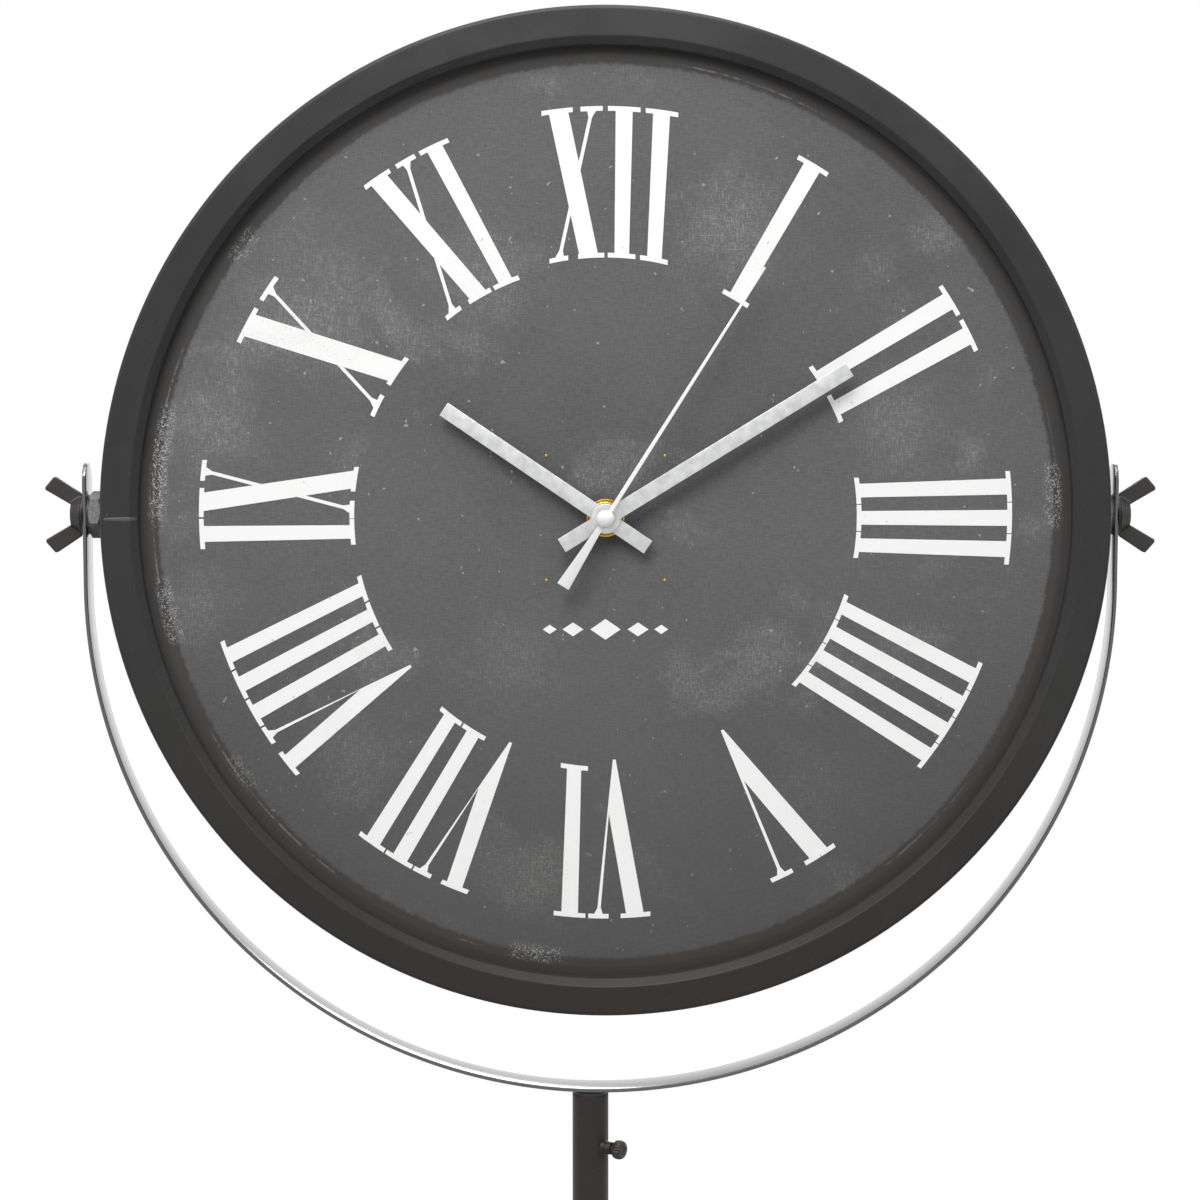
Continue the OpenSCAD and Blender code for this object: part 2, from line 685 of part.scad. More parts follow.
module brass_washer() {
    color(brass) at_head() tube(dial_depth - 0.5, 0.5, 8.1, bush_d / 2 + 0.1);
}

module fixing_nut() {
    color(brass) at_head() slab(nut_face, 1.8) difference() {
        circle(6, $fn = 6);
        circle(bush_d / 2 + 0.02);
    }
}

module battery() {
    color("darkslategray") at_head() translate([battery_at[0], battery_depth, battery_at[1]]) rotate([0, 90, 0]) {
        translate([0, 0, -battery_l / 2]) cylinder(h = battery_l, d = battery_d);
        translate([0, 0, battery_l / 2 - bite]) cylinder(h = 1 + bite, d = 5.5);
    }
}

module battery_contacts() {
    wall_x = half_w - movement_wall;
    plus_x = battery_l / 2 + 1;
    color(zinc) at_head() translate([0, battery_depth, battery_at[1]]) {
        translate([plus_x, -4, -4]) cube([wall_x - plus_x, 8, 8]);
        translate([-wall_x, -4, -4]) cube([wall_x - battery_l / 2, 8, 8]);
    }
}

// The stator is a flat frame: rotor hole in the lower bar, the coil's core is the upper bar
stator_left = COIL_AT[0] - coil_l / 2 - core_w;
stator_right = COIL_AT[0] + coil_l / 2 + core_w;
stator_bottom = rotor_at[1] - stator_hole_r - 1.6;

module stator() {
    bar_top = rotor_at[1] + stator_hole_r + 1.4;
    color(zinc) at_head() slab(rotor_layer + 0.5, 1) difference() {
        translate([stator_left, stator_bottom])
            square([stator_right - stator_left, COIL_AT[1] + core_w / 2 - stator_bottom]);
        translate([stator_left + core_w, bar_top])
            square([coil_l, COIL_AT[1] - core_w / 2 - bar_top]);
        translate(rotor_at) circle(stator_hole_r);
    }
}

module drive_coil() {
    middle = rotor_layer + 1;
    color("chocolate") at_head() translate([COIL_AT[0], middle, COIL_AT[1]]) difference() {
        rotate([0, 90, 0]) union() {
            translate([0, 0, 0.3 - coil_l / 2]) cylinder(h = coil_l - 0.6, r = coil_r - 0.6);
            for (z = [0.3 - coil_l / 2, coil_l / 2 - 1.1]) translate([0, 0, z]) cylinder(h = 0.8, r = coil_r);
        }
        cube([far, 1.1, core_w + 0.1], center = true);
    }
}

module circuit_board() {
    color("seagreen") at_head() {
        slab(board_layer, 0.8) translate(BOARD_CORNER) square(BOARD_SIZE);
        slab(board_layer - 0.9, 0.9 + bite) translate(BOARD_CORNER + [8, 8]) square([6, 6]);
    }
}

module quartz_crystal() {
    color("silver") at_head() translate([BOARD_CORNER[0] + 4, board_layer - 1.1, BOARD_CORNER[1] + 5])
        cylinder(h = 6, r = 1, $fn = 32);
}

module arbor(front, back, r, at = [0, 0]) disc(front, back - front, r, at);

arbor_front = plate_inside - 0.6;
arbor_back = cover_front + 0.4;

module rotor() {
    color(gear_plastic) at_head() {
        arbor(arbor_front, arbor_back, side_arbor_d / 2, rotor_at);
        wheel_blank(fifth_layer - 0.2, wheel_t + 0.4, rotor_leaves, fifth_module, PINION_TOOTH, rotor_turn, rotor_at);
        disc(rotor_layer, 2, 3, rotor_at);
    }
}

module fifth_wheel() {
    color(gear_plastic) at_head() {
        arbor(arbor_front, arbor_back, side_arbor_d / 2, fifth_at);
        wheel_blank(second_layer - 0.2, wheel_t + 0.4, fifth_leaves, second_module, PINION_TOOTH,
            fifth_wheel_turn, fifth_at);
        wheel_blank(fifth_layer, wheel_t, fifth_teeth, fifth_module, WHEEL_TOOTH, fifth_wheel_turn, fifth_at);
    }
}

module third_wheel() {
    color(gear_plastic) at_head() {
        arbor(arbor_front, arbor_back, side_arbor_d / 2, third_at);
        wheel_blank(centre_layer - 0.2, wheel_t + 0.4, third_leaves, centre_module, PINION_TOOTH,
            third_wheel_turn, third_at);
        wheel_blank(third_layer, wheel_t, third_teeth, third_module, WHEEL_TOOTH, third_wheel_turn, third_at);
    }
}

module second_wheel() {
    color(gear_plastic) at_head() {
        arbor(second_hand_depth + hand_t, arbor_back, second_arbor_d / 2);
        wheel_blank(third_layer - 0.2, wheel_t + 0.4, second_leaves, third_module, PINION_TOOTH,
            second_wheel_turn, centre_at);
        wheel_blank(second_layer, wheel_t, second_teeth, second_module, WHEEL_TOOTH, second_wheel_turn, centre_at);
    }
}

clutch_back = centre_layer + wheel_t + 0.3;

module centre_wheel() {
    color(gear_plastic) at_head() slab(centre_layer, wheel_t) difference() {
        rotate(centre_wheel_turn) toothed(centre_teeth, centre_module, WHEEL_TOOTH);
        circle(minute_tube_d / 2 + fit);
    }
}

module cannon_pinion() {
    color(brass) at_head() difference() {
        union() {
            arbor(minute_hand_depth + hand_t, clutch_back, minute_tube_d / 2);
            wheel_blank(minute_layer - 0.2, wheel_t + 0.4, cannon_leaves, cannon_module, PINION_TOOTH,
                cannon_turn, centre_at);
        }
        disc(0, far, second_arbor_d / 2 + fit);
    }
}

module hour_wheel() {
    color(gear_plastic) at_head() difference() {
        union() {
            arbor(hour_hand_depth + hand_t, hour_layer + wheel_t, hour_tube_d / 2);
            wheel_blank(hour_layer, wheel_t, hour_teeth, hour_module, WHEEL_TOOTH, hour_wheel_turn, centre_at);
        }
        disc(0, far, minute_tube_d / 2 + fit);
    }
}

knob_front = case_front + movement_depth + 0.5;
knob_t = 4;

module minute_wheel() {
    color(gear_plastic) at_head() {
        arbor(arbor_front, plate_inside + bite, side_arbor_d / 2, minute_at);
        arbor(plate_inside + 0.2, knob_front, minute_stem_d / 2, minute_at);
        wheel_blank(hour_layer - 0.2, minute_layer - hour_layer + 0.2 + bite, minute_leaves, hour_module, PINION_TOOTH,
            minute_wheel_turn, minute_at);
        wheel_blank(minute_layer, wheel_t, minute_teeth, cannon_module, WHEEL_TOOTH, minute_wheel_turn, minute_at);
    }
}

module setting_knob() {
    flutes = 18;
    color(nylon_black) at_head() slab(knob_front, knob_t) translate(minute_at) difference() {
        circle(knob_d / 2);
        around(flutes, knob_d / 2 + 0.3) circle(0.7, $fn = 16);
    }
}

// Hands, drawn as seen at twelve and turned clockwise

module baton(length, hole_d) difference() {
    union() {
        translate([-hand_w / 2, -hand_tail_l]) square([hand_w, length + hand_tail_l]);
        circle(hand_hub_d / 2);
    }
    circle(hole_d / 2);
}

module hour_hand() {
    color(silver) at_head() slab(hour_hand_depth, hand_t) rotate(-hour_turn)
        baton(hour_hand_l, minute_tube_d + 2 * gap);
}

module minute_hand() {
    color(silver) at_head() slab(minute_hand_depth, hand_t) rotate(-minute_turn)
        baton(minute_hand_l, second_arbor_d + 2 * gap);
}

module second_hand() {
    color(print_white) at_head() slab(second_hand_depth, hand_t) rotate(-second_turn) {
        polygon([
            [-second_tail_w / 2, -second_tail_l], [second_tail_w / 2, -second_tail_l], [0.95, 0],
            [second_tip_w / 2, second_hand_l], [-second_tip_w / 2, second_hand_l], [-0.95, 0]
        ]);
        circle(cap_d / 2 - 0.6);
    }
}

module hand_cap() {
    cap_t = 2.6;
    color(print_white) at_head() translate([0, second_hand_depth, 0]) rotate([90, 0, 0])
        rotate_extrude() intersection() {
            square([cap_d / 2, cap_t]);
            translate([0, cap_t - cap_dome_r]) circle(cap_dome_r);
        }
}

cap_dome_r = 5;

// Pivots. Both sides are alike but for the length of the spacer, which sets the case's place in the yoke.

SIDES = [-1, 1];
function wall_x(side) = case_shift * side + wall_r;        // outward distance of the case wall from the yoke's middle
nut_out_x = yoke_inside_w / 2 - nylon_washer_t - fit;
nut_in_x = nut_out_x - nut_t;
wing_foot_x = strap_out_x + wing_washer_t + fit;
bolt_end_x = wing_foot_x + wing_body_h;
pivot_washer_r = pivot_washer_d / 2;
pivot_bore_r = pivot_bolt_d / 2 + fit;

// A length along the pivot axis, outward on one side, as a cylinder or as a lifted outline
module outward(side, from, to) at_pivot() translate([side * from, 0, 0]) rotate([0, side * 90, 0])
    linear_extrude(to - from) children();

pivot_plate_t = 4;

module pivot_bolts() {
    color(black_paint) for (side = SIDES) {
        inside = wall_x(side) - sheet_t - pivot_plate_t;
        outward(side, inside - 3, inside) circle(6.5, $fn = 6);
        outward(side, inside - bite, bolt_end_x) circle(pivot_bolt_d / 2);
    }
}

module pivot_plates() {
    plate_l = 34;
    plate_w = 22;
    color(zinc) for (side = SIDES) {
        inside = wall_x(side) - sheet_t - pivot_plate_t;
        difference() {
            at_pivot() translate([side * inside, 0, 0]) rotate([0, side * 90, 0])
                translate([-plate_l / 2, -plate_w / 2, 0]) cube([plate_l, plate_w, pivot_plate_t + 2]);
            at_head() difference() {
                disc(-far / 2, far, far);
                slab(-far, 3 * far) circle(wall_inner_r - fit, $fn = 180);
            }
            outward(side, 0, far) circle(pivot_bore_r);
        }
    }
}

module pivot_spacers() {
    color(black_paint) for (side = SIDES)
        outward(side, wall_x(side) + fit, nut_in_x) ring2(6.5, pivot_bore_r);
}

module hex_nuts() {
    across_corners = nut_flats / cos(30);
    nut_lean = 11.6;
    color("slategray") for (side = SIDES) difference() {
        outward(side, nut_in_x, nut_out_x) rotate(-side * nut_lean) circle(across_corners / 2, $fn = 6);
        outward(side, 0, far) circle(pivot_bore_r);
    }
}

module nylon_washers() {
    color(nylon_black) for (side = SIDES)
        outward(side, nut_out_x, nut_out_x + nylon_washer_t) ring2(pivot_washer_r, pivot_bore_r);
}

module wing_washers() {
    color(black_paint) for (side = SIDES)
        outward(side, strap_out_x, strap_out_x + wing_washer_t) ring2(pivot_washer_r, pivot_bore_r);
}

// Outline of one wing, x outward from the foot's face and y along the span
module wing_outline() {
    half_span = wing_span / 2;
    notch = 4.3;
    corner = 1.2;
    shoulder = wing_h - wing_w * 0.68;
    inner_corner = half_span - wing_w * 0.73;
    polygon([
        [0.2, 0], [wing_body_h, 0], [wing_body_h, notch], [wing_h, inner_corner],
        [wing_h - 0.2, inner_corner + corner], [shoulder + corner, half_span],
        [shoulder, half_span - corner * 0.3], [0.2, wing_foot_d / 2 + 1.1]
    ]);
}

module wing_nut(side) {
    color(black_paint) at_pivot() translate([side * wing_foot_x, 0, 0]) difference() {
        union() {
            rotate([0, side * 90, 0]) cylinder(h = wing_body_h, d1 = wing_foot_d, d2 = wing_top_d + 2);
            for (up = SIDES) scale([side, 1, up]) translate([0, wing_t / 2, 0]) rotate([90, 0, 0])
                linear_extrude(wing_t) wing_outline();
        }
        rotate([0, side * 90, 0]) translate([0, 0, -1]) cylinder(h = far, r = pivot_bore_r + fit);
    }
}

module wing_nut_left() wing_nut(-1);
module wing_nut_right() wing_nut(1);

// Yoke and mast

module yoke_strap() {
    half_strap = strap_w / 2;
    color(black_paint) at_pivot() {
        difference() {
            union() {
                for (side = SIDES) translate([side * strap_mid_r - strap_t / 2, 0, 0]) {
                    translate([0, -half_strap, -strap_straight_h])
                        cube([strap_t, strap_w, strap_straight_h + strap_top_h - half_strap]);
                    translate([0, 0, strap_top_h - half_strap]) rotate([0, 90, 0])
                        cylinder(h = strap_t, r = half_strap);
                }
                intersection() {
                    translate([0, half_strap, -strap_straight_h]) rotate([90, 0, 0]) linear_extrude(strap_w)
                        ring2(strap_mid_r + strap_t / 2, strap_mid_r - strap_t / 2, $fn = 360);
                    translate([-far / 2, -far / 2, -strap_straight_h - far]) cube(far);
                }
            }
            rotate([0, 90, 0]) translate([0, 0, -far / 2]) cylinder(h = far, r = pivot_bore_r);
        }
    }
}

guide_top = yoke_foot_h - gap - 0.15;
outer_tube_top = guide_top - guide_rim_t;
outer_bore_r = outer_tube_d / 2 - tube_wall;
inner_tube_foot_h = yoke_foot_h - lift_travel - tube_overlap;
inner_guide_t = 10;
inner_guide_rim_t = 2;
cap_plug_l = 8;
outer_tube_foot_h = inner_tube_foot_h - inner_guide_rim_t - tube_end_room - cap_plug_l;

module upright(z0, z1, outer_r, inner_r) at_mast() translate([0, 0, z0]) linear_extrude(z1 - z0)
    ring2(outer_r, inner_r);

// The tube's upper end is cut to the strap's underside
module inner_mast() {
    color(black_paint) difference() {
        upright(inner_tube_foot_h, yoke_foot_h + 1, inner_tube_d / 2, inner_tube_d / 2 - tube_wall);
        at_pivot() translate([0, far / 2, -strap_straight_h]) rotate([90, 0, 0])
            cylinder(h = far, r = strap_mid_r + strap_t / 2, $fn = 360);
    }
}

module inner_guide() {
    color(nylon_black) {
        upright(inner_tube_foot_h - inner_guide_rim_t, inner_tube_foot_h, outer_bore_r - 0.2, 3);
        upright(inner_tube_foot_h - bite, inner_tube_foot_h + inner_guide_t, inner_tube_d / 2 - tube_wall - 0.02, 3);
    }
}

module guide_bush() {
    bore_r = inner_tube_d / 2 + fit;
    color(nylon_black) {
        upright(outer_tube_top, guide_top, outer_tube_d / 2 - 0.2, bore_r);
        upright(outer_tube_top - guide_l, outer_tube_top + bite, outer_bore_r - fit, bore_r);
    }
}

// The lock screw's axis: outward from the mast
lock_h = outer_tube_top - lock_drop;
module along_lock(from, to, r) at_mast() translate([0, 0, lock_h]) rotate([90, 0, lock_turn])
    translate([0, 0, from]) cylinder(h = to - from, r = r);

module outer_mast() {
    color(black_paint) difference() {
        upright(outer_tube_foot_h, outer_tube_top, outer_tube_d / 2, outer_bore_r);
        along_lock(0, far, lock_screw_d / 2 + fit);
    }
}

boss_start = outer_tube_d / 2 - 0.9;
boss_end = boss_start + 0.9 + boss_l;

module screw_boss() {
    color(black_paint) difference() {
        along_lock(boss_start, boss_end, boss_d / 2);
        upright(0, far, outer_tube_d / 2, 0);
        along_lock(0, far, lock_screw_d / 2 + fit);
    }
}

module lock_screw() {
    tip = inner_tube_d / 2 + gap;
    head_start = boss_end + lock_neck_l;
    color(black_paint) {
        along_lock(tip, head_start + bite, lock_screw_d / 2);
        difference() {
            along_lock(head_start, head_start + lock_head_t, lock_head_d / 2);
            at_mast() translate([0, 0, lock_h]) rotate([90, 0, lock_turn]) translate([0, 0, head_start - 1])
                linear_extrude(far) around(16, lock_head_d / 2 + 0.25) circle(0.6, $fn = 16);
        }
    }
}

module mast_cap() {
    color(nylon_black) {
        upright(outer_tube_foot_h - 3, outer_tube_foot_h, outer_tube_d / 2, 0);
        upright(outer_tube_foot_h - bite, outer_tube_foot_h + cap_plug_l, outer_bore_r - 0.02, 0);
    }
}

// Tripod

// A frame at one leg's pivot: x outward, y along the pivot bolt, z up
module at_leg(turn) at_mast() rotate([0, 0, turn]) translate([leg_pivot_r, 0, leg_pivot_h]) children();

ear_r = 7.5;
eye_r = leg_d / 2;
ear_gap = eye_t + 2 * gap;
leg_bolt_l = ear_gap + 2 * ear_t;
leg_bore_r = leg_bolt_d / 2 + fit;
tube_start = 10;

// A cylinder along the pivot bolt, centred on the leg
module along_bolt(length, r) rotate([90, 0, 0]) cylinder(h = length, r = r, center = true);

module tripod_hub() {
    color(black_paint) {
        difference() {
            union() {
                upright(leg_pivot_h - hub_h / 2, leg_pivot_h + hub_h / 2, hub_d / 2, outer_tube_d / 2 + fit);
                for (turn = LEG_TURNS) at_leg(turn) difference() {
                    union() {
                        along_bolt(leg_bolt_l, ear_r);
                        translate([1 - leg_pivot_r + hub_d / 2 - 4, -leg_bolt_l / 2, -ear_r])
                            cube([leg_pivot_r - hub_d / 2 + 3, leg_bolt_l, 2 * ear_r]);
                    }
                    translate([hub_d / 2 - leg_pivot_r, -ear_gap / 2, -far / 2]) cube([far, ear_gap, far]);
                }
            }
            upright(0, far, outer_tube_d / 2 + fit, 0);
            for (turn = LEG_TURNS) at_leg(turn) {
                along_bolt(leg_bolt_l + 20, leg_bore_r);
                translate([hub_d / 2 - leg_pivot_r, -ear_gap / 2, -far / 2]) cube([far, ear_gap, far]);
            }
        }
    }
}

// The leg hangs along -z in its own frame, and is swung outward by the spread
module swung(turn) at_leg(turn) rotate([0, -leg_spread, 0]) children();

// The corner of the leg's eye that stops on the hub when the leg is open
stop_w = 4;
stop_h = (leg_pivot_r - hub_d / 2 - fit - stop_w * cos(leg_spread)) / sin(leg_spread);

module leg(turn) {
    color(black_paint) swung(turn) {
        difference() {
            union() {
                along_bolt(eye_t, eye_r);
                translate([-eye_r, -eye_t / 2, -tube_start - 4]) cube([2 * eye_r, eye_t, tube_start + 4]);
                translate([-stop_w, -eye_t / 2, 0]) cube([stop_w, eye_t, stop_h]);
                translate([0, 0, -tube_start - 5]) cylinder(h = 5, r = leg_d / 2);
            }
            along_bolt(far, leg_bore_r);
        }
        translate([0, 0, 3 - leg_length]) difference() {
            cylinder(h = leg_length - 3 - tube_start - 2, r = leg_d / 2);
            translate([0, 0, -1]) cylinder(h = leg_length - 3 - tube_start - 6, r = leg_d / 2 - tube_wall);
        }
    }
}

module foot(turn) {
    sleeve_l = 24;
    color(nylon_black) difference() {
        swung(turn) difference() {
            union() {
                translate([0, 0, -leg_length]) sphere(r = foot_r);
                translate([0, 0, -leg_length]) cylinder(h = sleeve_l, r = leg_d / 2 + 1.6);
            }
            translate([0, 0, 2.9 - leg_length]) cylinder(h = sleeve_l, r = leg_d / 2 + 0.02);
        }
        translate([-far, -far, -2 * far]) cube([2 * far, 2 * far, 2 * far]);
    }
}

module leg_left() leg(LEG_TURNS[0]);
module leg_right() leg(LEG_TURNS[1]);
module leg_back() leg(LEG_TURNS[2]);
module foot_left() foot(LEG_TURNS[0]);
module foot_right() foot(LEG_TURNS[1]);
module foot_back() foot(LEG_TURNS[2]);

bolt_head_t = 3.2;
leg_nut_t = 4;
thread_end = 1.2;

module leg_bolts() {
    half_l = leg_bolt_l / 2;
    color(zinc) for (turn = LEG_TURNS) at_leg(turn) rotate([90, 0, 0]) {
        translate([0, 0, -half_l - leg_nut_t - thread_end])
            cylinder(h = leg_bolt_l + leg_nut_t + thread_end + bite, r = leg_bolt_d / 2);
        translate([0, 0, half_l]) difference() {
            cylinder(h = bolt_head_t, r = leg_bolt_d * 0.85);
            translate([0, 0, 1.5]) cylinder(h = far, r = leg_bolt_d * 0.45, $fn = 6);
        }
    }
}

module leg_nuts() {
    color(zinc) for (turn = LEG_TURNS) at_leg(turn) rotate([90, 0, 0])
        translate([0, 0, -leg_bolt_l / 2 - leg_nut_t]) difference() {
            cylinder(h = leg_nut_t, r = leg_bolt_d * 0.92, $fn = 6);
            translate([0, 0, -1]) cylinder(h = far, r = leg_bolt_d / 2 + 0.02);
        }
}

case_rim();
case_wall();
back_cover();
cover_screws();
dial_board();
dial_numerals();
dial_ornament();
dial_clips();
movement_case();
movement_cover();
movement_bush();
movement_gasket();
brass_washer();
fixing_nut();
housing_pins();
battery();
battery_contacts();
drive_coil();
stator();
circuit_board();
quartz_crystal();
rotor();
fifth_wheel();
third_wheel();
centre_wheel();
cannon_pinion();
hour_wheel();
second_wheel();
minute_wheel();
setting_knob();
hour_hand();
minute_hand();
second_hand();
hand_cap();
pivot_bolts();
pivot_plates();
pivot_spacers();
hex_nuts();
nylon_washers();
wing_washers();
yoke_strap();
inner_mast();
inner_guide();
wing_nut_left();
wing_nut_right();
guide_bush();
outer_mast();
screw_boss();
lock_screw();
tripod_hub();
mast_cap();
leg_left();
leg_right();
leg_back();
leg_bolts();
leg_nuts();
foot_left();
foot_right();
foot_back();
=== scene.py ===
import json
import math
import random

import bmesh
import bpy
from bpy.props import FloatProperty, FloatVectorProperty, IntProperty, PointerProperty
from mathutils import Matrix, Vector

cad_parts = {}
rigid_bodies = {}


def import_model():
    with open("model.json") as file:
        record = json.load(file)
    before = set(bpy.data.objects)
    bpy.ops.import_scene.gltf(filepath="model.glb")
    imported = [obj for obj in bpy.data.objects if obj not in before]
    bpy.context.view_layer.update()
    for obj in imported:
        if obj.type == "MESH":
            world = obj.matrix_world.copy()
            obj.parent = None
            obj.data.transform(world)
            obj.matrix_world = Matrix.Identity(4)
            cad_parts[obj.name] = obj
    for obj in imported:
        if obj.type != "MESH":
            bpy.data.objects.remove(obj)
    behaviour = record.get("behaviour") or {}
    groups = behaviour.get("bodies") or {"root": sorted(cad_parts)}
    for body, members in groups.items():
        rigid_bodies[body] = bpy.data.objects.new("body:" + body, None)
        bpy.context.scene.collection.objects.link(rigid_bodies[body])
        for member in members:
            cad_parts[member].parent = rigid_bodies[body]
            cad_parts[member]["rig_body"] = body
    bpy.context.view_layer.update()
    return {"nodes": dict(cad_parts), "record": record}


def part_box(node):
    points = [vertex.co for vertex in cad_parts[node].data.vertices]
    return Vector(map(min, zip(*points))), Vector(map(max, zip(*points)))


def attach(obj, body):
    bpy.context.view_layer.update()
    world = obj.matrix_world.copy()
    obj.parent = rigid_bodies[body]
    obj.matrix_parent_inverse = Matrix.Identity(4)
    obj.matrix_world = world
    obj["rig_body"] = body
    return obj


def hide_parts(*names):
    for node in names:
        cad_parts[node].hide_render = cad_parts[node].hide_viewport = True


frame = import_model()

bl_info = {
    "name": "Tripod Floor Clock",
    "version": (1, 0, 0),
    "blender": (4, 5, 0),
    "location": "View3D > Sidebar > Clock",
    "description": "Dresses the packed clock: case, dial, hands, movement, yoke, mast and tripod",
    "category": "Object",
}

NODES = frame["nodes"]
UP = Vector((0, 0, 1))
RIGHT = Vector((1, 0, 0))
BACK = Vector((0, 1, 0))


def middle(name):
    low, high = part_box(name)
    return (low + high) / 2


def span(name):
    low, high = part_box(name)
    return high - low


RIM_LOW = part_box("case_rim")[0]
HEAD = Vector((middle("case_rim").x, RIM_LOW.y, middle("case_rim").z))
MAST = Vector((middle("outer_mast").x, middle("outer_mast").y, 0))
PIVOT = Vector((0, MAST.y, HEAD.z))
DIAL_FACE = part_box("dial_board")[0].y


# Sizes and colours that a user would change

def length(name, words, default, low=0.0, high=1.0):
    return FloatProperty(name=name, description=words, default=default, min=low, max=high, unit="LENGTH",
                         precision=5)


def colour(name, words, default):
    return FloatVectorProperty(name=name, description=words, default=default, size=3, min=0.0, max=1.0,
                               subtype="COLOR_GAMMA")


class ClockSizes(bpy.types.PropertyGroup):
    rim_radius: length("Rim radius", "Outside radius of the front rim", span("case_rim").x / 2, 0.1, 0.4)
    opening_radius: length("Opening radius", "Radius of the dial opening", 0.19955, 0.1, 0.4)
    outer_round: length("Outer rounding", "Rounding of the rim's outside edge", 0.002, 0.001, 0.02)
    bevel: length("Bevel", "Width of the bevel around the dial opening", 0.0034, 0.001, 0.02)
    wall_radius: length("Wall radius", "Outside radius of the side wall", 0.21395, 0.1, 0.4)
    sheet: length("Sheet", "Thickness of the case's sheet steel", 0.001, 0.0005, 0.003)
    edge: length("Edge rounding", "Rounding of sawn and turned edges", 0.00025, 0.00005, 0.001)
    seam_width: length("Seam width", "Width of the ground weld across the rim", 0.0020, 0.0005, 0.004)
    cast_voxel: length("Cast grain", "Cell size of the cast wing nuts' edges", 0.00034, 0.0002, 0.001)
    round_steps: IntProperty(name="Round steps", description="Segments around the large round pieces",
                             default=240, min=48, max=512)


class ClockColours(bpy.types.PropertyGroup):
    rim: colour("Rim enamel", "Satin enamel of rim, wall and back cover", (0.208, 0.207, 0.206))
    # Painted shade: the enamel colour used towards the bottom of the case, darker and browner than the
    # rim's own
    rim_low_painted_shade: colour("Lower rim, painted shade", "Enamel at the bottom of the case", (0.196, 0.180, 0.169))
    # Painted light: the enamel colour used towards the top of the case, lighter than the rim's own
    rim_top_painted_light: colour("Upper rim, painted light", "Enamel at the top of the case", (0.252, 0.252, 0.252))
    # The weld is drawn in a lighter enamel than the rim, so that it reads as a light line across it
    weld: colour("Weld", "Weld across the rim, in a lighter enamel than the rim", (0.31, 0.31, 0.308))
    stand: colour("Stand enamel", "Warm black enamel of yoke, mast and legs", (0.148, 0.138, 0.131))
    cast: colour("Cast enamel", "Thin enamel of the wing nuts and the lock screw", (0.157, 0.145, 0.135))
    dial: colour("Dial", "Ground of the printed dial", (0.309, 0.309, 0.310))
    chalk: colour("Chalk", "Rubbed lighter places of the dial", (0.66, 0.66, 0.655))
    border: colour("Border", "Brown ring around the dial", (0.216, 0.210, 0.206))
    print_white: colour("Print", "Numerals and ornament", (0.922, 0.922, 0.919))
    silver: colour("Silver", "Hour and minute hand", (0.79, 0.793, 0.793))
    white: colour("White", "Second hand and its cap", (0.89, 0.89, 0.885))
    brass: colour("Brass", "Washer, bush and nut of the movement", (0.80, 0.64, 0.30))
    zinc: colour("Zinc", "Screws and clips", (0.62, 0.62, 0.61))
    dark_zinc: colour("Dull zinc", "Hex nuts at the pivots", (0.42, 0.42, 0.418))
    plastic: colour("Black plastic", "Movement housing and bushes", (0.11, 0.11, 0.112))
    gear: colour("Gear plastic", "Wheels of the movement", (0.85, 0.82, 0.70))
    rubber: colour("Rubber", "Feet and gasket", (0.09, 0.09, 0.09))
    sleeve: colour("Battery sleeve", "Body of the battery", (0.12, 0.20, 0.22))
    copper: colour("Copper", "Coil wire and the battery's upper band", (0.72, 0.42, 0.24))
    board: colour("Circuit board", "Solder mask", (0.10, 0.35, 0.20))
    fibre: colour("Fibreboard", "Back of the dial board", (0.50, 0.38, 0.27))


def sizes():
    return bpy.context.scene.clock_sizes


def colours():
    return bpy.context.scene.clock_colours


def linear(value):
    """A written colour as the shader's linear colour."""
    return [v / 12.92 if v <= 0.04045 else ((v + 0.055) / 1.055) ** 2.4 for v in value] + [1.0]


# Shader groups: each is built once and placed in every material that uses it

